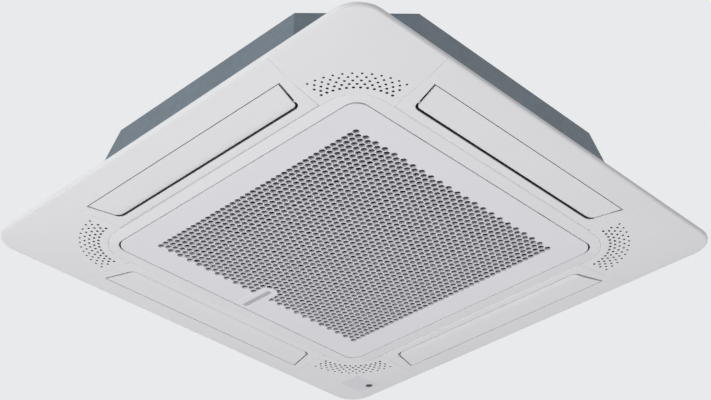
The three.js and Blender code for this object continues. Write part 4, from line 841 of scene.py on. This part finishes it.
# the same white as the panel in baked powder paint: a slight orange peel
white_powder_paint = finish("white_powder_paint", "E4E3E7", "E0DFE3", orange_peel, 0.02, (0.38, 0.46))
plate = hole_field(white_powder_paint)
plate_work = opened(plate)
close_field(plate_work, ring_line(edge_profile[0][0] * MM), face_z, False)
close_field(plate_work, ring_line(edge_profile[-1][0] * MM), back_z, True)
skirt(plate_work, [(inset * MM, face_z + height * MM) for inset, height in edge_profile])
bmesh.ops.remove_doubles(plate_work, verts=plate_work.verts, dist=0.005 * MM)
for face in plate_work.faces:
    face.smooth = True
    face.material_index = 0
closed(plate_work, plate.data)
dress(plate, white_powder_paint)
# two notches in the fold at the rear let the hinge brackets through
hinge_x, notch_half = 165 * MM, 16.5 * MM
notch_from, notch_to, notch_low = 296 * MM, 315 * MM, -17.5 * MM
for middle in (-hinge_x, hinge_x):
    cut_away(plate, block("notch", Vector((middle - notch_half, notch_from, notch_low)),
                          Vector((middle + notch_half, notch_to, 0))))
flatten(plate, angle=35)
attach(plate, "intake_grille")


def slab(name, outline, low, high, soft, material):
    """A flat piece of that outline with its lower edge rounded."""
    work = bmesh.new()
    base = work.faces.new([work.verts.new((x, y, low)) for x, y in reversed(outline)])
    grown = bmesh.ops.extrude_face_region(work, geom=[base])
    bmesh.ops.translate(work, verts=[g for g in grown["geom"] if isinstance(g, bmesh.types.BMVert)],
                        vec=(0, 0, high - low))
    bmesh.ops.recalc_face_normals(work, faces=work.faces)
    rim = [e for e in work.edges if all(abs(v.co.z - low) < 1e-7 for v in e.verts)]
    bmesh.ops.bevel(work, geom=rim, offset=soft, segments=3, affect="EDGES", profile=0.5)
    for face in work.faces:
        face.smooth = True
    mesh = closed(work, bpy.data.meshes.new(name))
    mesh.set_sharp_from_angle(angle=math.radians(crease))
    mesh.materials.append(material)
    made = new_piece(name, mesh)
    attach(made, "intake_grille")
    return made


def stadium(half_width, start, end, steps=12):
    """A strip along Y with a round end at its end, both in metres."""
    tip = end - half_width
    return [(half_width, start)] + [(half_width * math.cos(k * math.pi / steps),
                                     tip + half_width * math.sin(k * math.pi / steps))
                                    for k in range(steps + 1)] + [(-half_width, start)]


tongue_half, tongue_start, tongue_tip = 19 * MM, -306 * MM, -217 * MM
tongue_raise, tongue_sunk, tongue_soft = 0.6 * MM, 0.8 * MM, 0.45 * MM
tongue = slab("plate_tongue", stadium(tongue_half, tongue_start, tongue_tip), face_z - tongue_raise,
              face_z + tongue_sunk, tongue_soft, white_powder_paint)
inlay_low, inlay_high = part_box("grille_inlay")
play = Vector((0.3, 0.3, 0.3)) * MM
cut_away(tongue, block("inlay_bed", inlay_low - play, inlay_high + play))
flatten(tongue, crease)
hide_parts("grille_plate")
# pale grey ABS, smooth from the tool: a soft gloss beside the paint
pale_grey_abs = finish("pale_grey_abs", "B7B8BD", "AFB0B5", moulded_grain, 0.0, (0.3, 0.36))
rounded("grille_inlay", 0.1, pale_grey_abs, facet=barrel)

# ---- Stage --------------------------------------------------------------------------------
# A plain pale floor, far enough below for the unit to be seen from underneath, an even pale
# surround, and soft lamps: three for the underside and the right wall, as in the photograph,
# and one for the roof.

def seen_rays(tree):
    """One for rays from the camera, off gloss and through glass, which meet the plain backdrop."""
    rays = add(tree, "ShaderNodeLightPath").outputs
    seen = rays["Is Camera Ray"]
    for kind in ("Is Glossy Ray", "Is Transmission Ray"):
        seen = add(tree, "ShaderNodeMath", {0: seen, 1: rays[kind]}, operation="MAXIMUM").outputs[0]
    return seen


def floor_scuff(tree, place):
    return blotches(tree, place, 900), blotches(tree, place, 3)


# matt paper: no shine and hardly any tone, so that nothing on the floor draws the eye
pale_paper = finish("pale_paper", "E4E4E6", "E1E1E3", floor_scuff, 0.05, (0.88, 0.92))
paper = pale_paper.node_tree
sheen = next(node for node in paper.nodes if node.type == "BSDF_PRINCIPLED")
way_out = next(node for node in paper.nodes if node.type == "OUTPUT_MATERIAL")
# the camera sees it brighter than it lights the unit
strength = add(paper, "ShaderNodeMath", {0: seen_rays(paper), 1: 0.42}, operation="MULTIPLY")
lift = add(paper, "ShaderNodeEmission", {"Color": linear("FFFFFF"), "Strength": strength.outputs[0]})
both = add(paper, "ShaderNodeAddShader", {0: sheen.outputs[0], 1: lift.outputs[0]})
paper.links.new(both.outputs[0], way_out.inputs["Surface"])
floor_half, floor_z = 18, -5.6
floor_corners = [(x * floor_half, y * floor_half, floor_z) for x, y in ((-1, -1), (1, -1), (1, 1), (-1, 1))]
floor_mesh = bpy.data.meshes.new("floor")
floor_mesh.from_pydata(floor_corners, [], [(0, 1, 2, 3)])
floor_mesh.materials.append(pale_paper)
floor = new_piece("floor", floor_mesh)

world = bpy.data.worlds.new("studio")
bpy.context.scene.world = world
world.use_nodes = True
sky = world.node_tree
sky.nodes.clear()
backdrop = add(sky, "ShaderNodeBackground", {"Color": linear("E9EAEC"), "Strength": 1.0})
air = add(sky, "ShaderNodeBackground", {"Color": linear("F4F4F5"), "Strength": 0.5})
mixed = add(sky, "ShaderNodeMixShader", {0: seen_rays(sky), 1: air.outputs[0], 2: backdrop.outputs[0]})
add(sky, "ShaderNodeOutputWorld", {"Surface": mixed.outputs[0]})


def softbox(name, place, aim, size, power):
    """A large square lamp at a place, turned to a point; the camera doesn't see it."""
    lamp = bpy.data.lights.new(name, "AREA")
    lamp.shape = "SQUARE"
    lamp.size = size
    lamp.energy = power
    made = new_piece(name, lamp)
    made.location = place
    made.rotation_euler = (Vector(aim) - Vector(place)).to_track_quat("-Z", "Y").to_euler()
    made.visible_camera = False


softbox("key", (3.0, -0.4, -1.6), (0.0, 0.0, 0.0), 1.6, 40)
softbox("under", (0.0, 0.4, -2.05), (0.0, 0.0, 0.0), 2.0, 18)
softbox("side", (2.4, -0.5, 1.0), (0.4, 0.0, 0.1), 1.2, 11)
softbox("roof", (-1.3, -1.3, 2.6), (0.0, 0.0, 0.1), 2.0, 50)

# The camera looks up from below at the corner between the right and the rear side.
turn, rise, roll, reach = math.radians(134.566), math.radians(-34.065), math.radians(0.085), 2.615
target = Vector((0.08955, 0.09017, 0.0))
back = Vector((math.sin(turn) * math.cos(rise), -math.cos(turn) * math.cos(rise), math.sin(rise)))
right = (-back).cross(Vector((0, 0, 1))).normalized()
up = right.cross(-back)
right, up = (right * math.cos(roll) + up * math.sin(roll), up * math.cos(roll) - right * math.sin(roll))
eye = new_piece("camera", bpy.data.cameras.new("camera"))
eye.data.lens = 74.64
eye.data.sensor_width = 36
eye.data.sensor_fit = "HORIZONTAL"
eye.matrix_world = Matrix((
    (right.x, up.x, back.x, target.x + back.x * reach),
    (right.y, up.y, back.y, target.y + back.y * reach),
    (right.z, up.z, back.z, target.z + back.z * reach),
    (0, 0, 0, 1)))
bpy.context.scene.camera = eye
bpy.context.scene.view_settings.view_transform = "Standard"
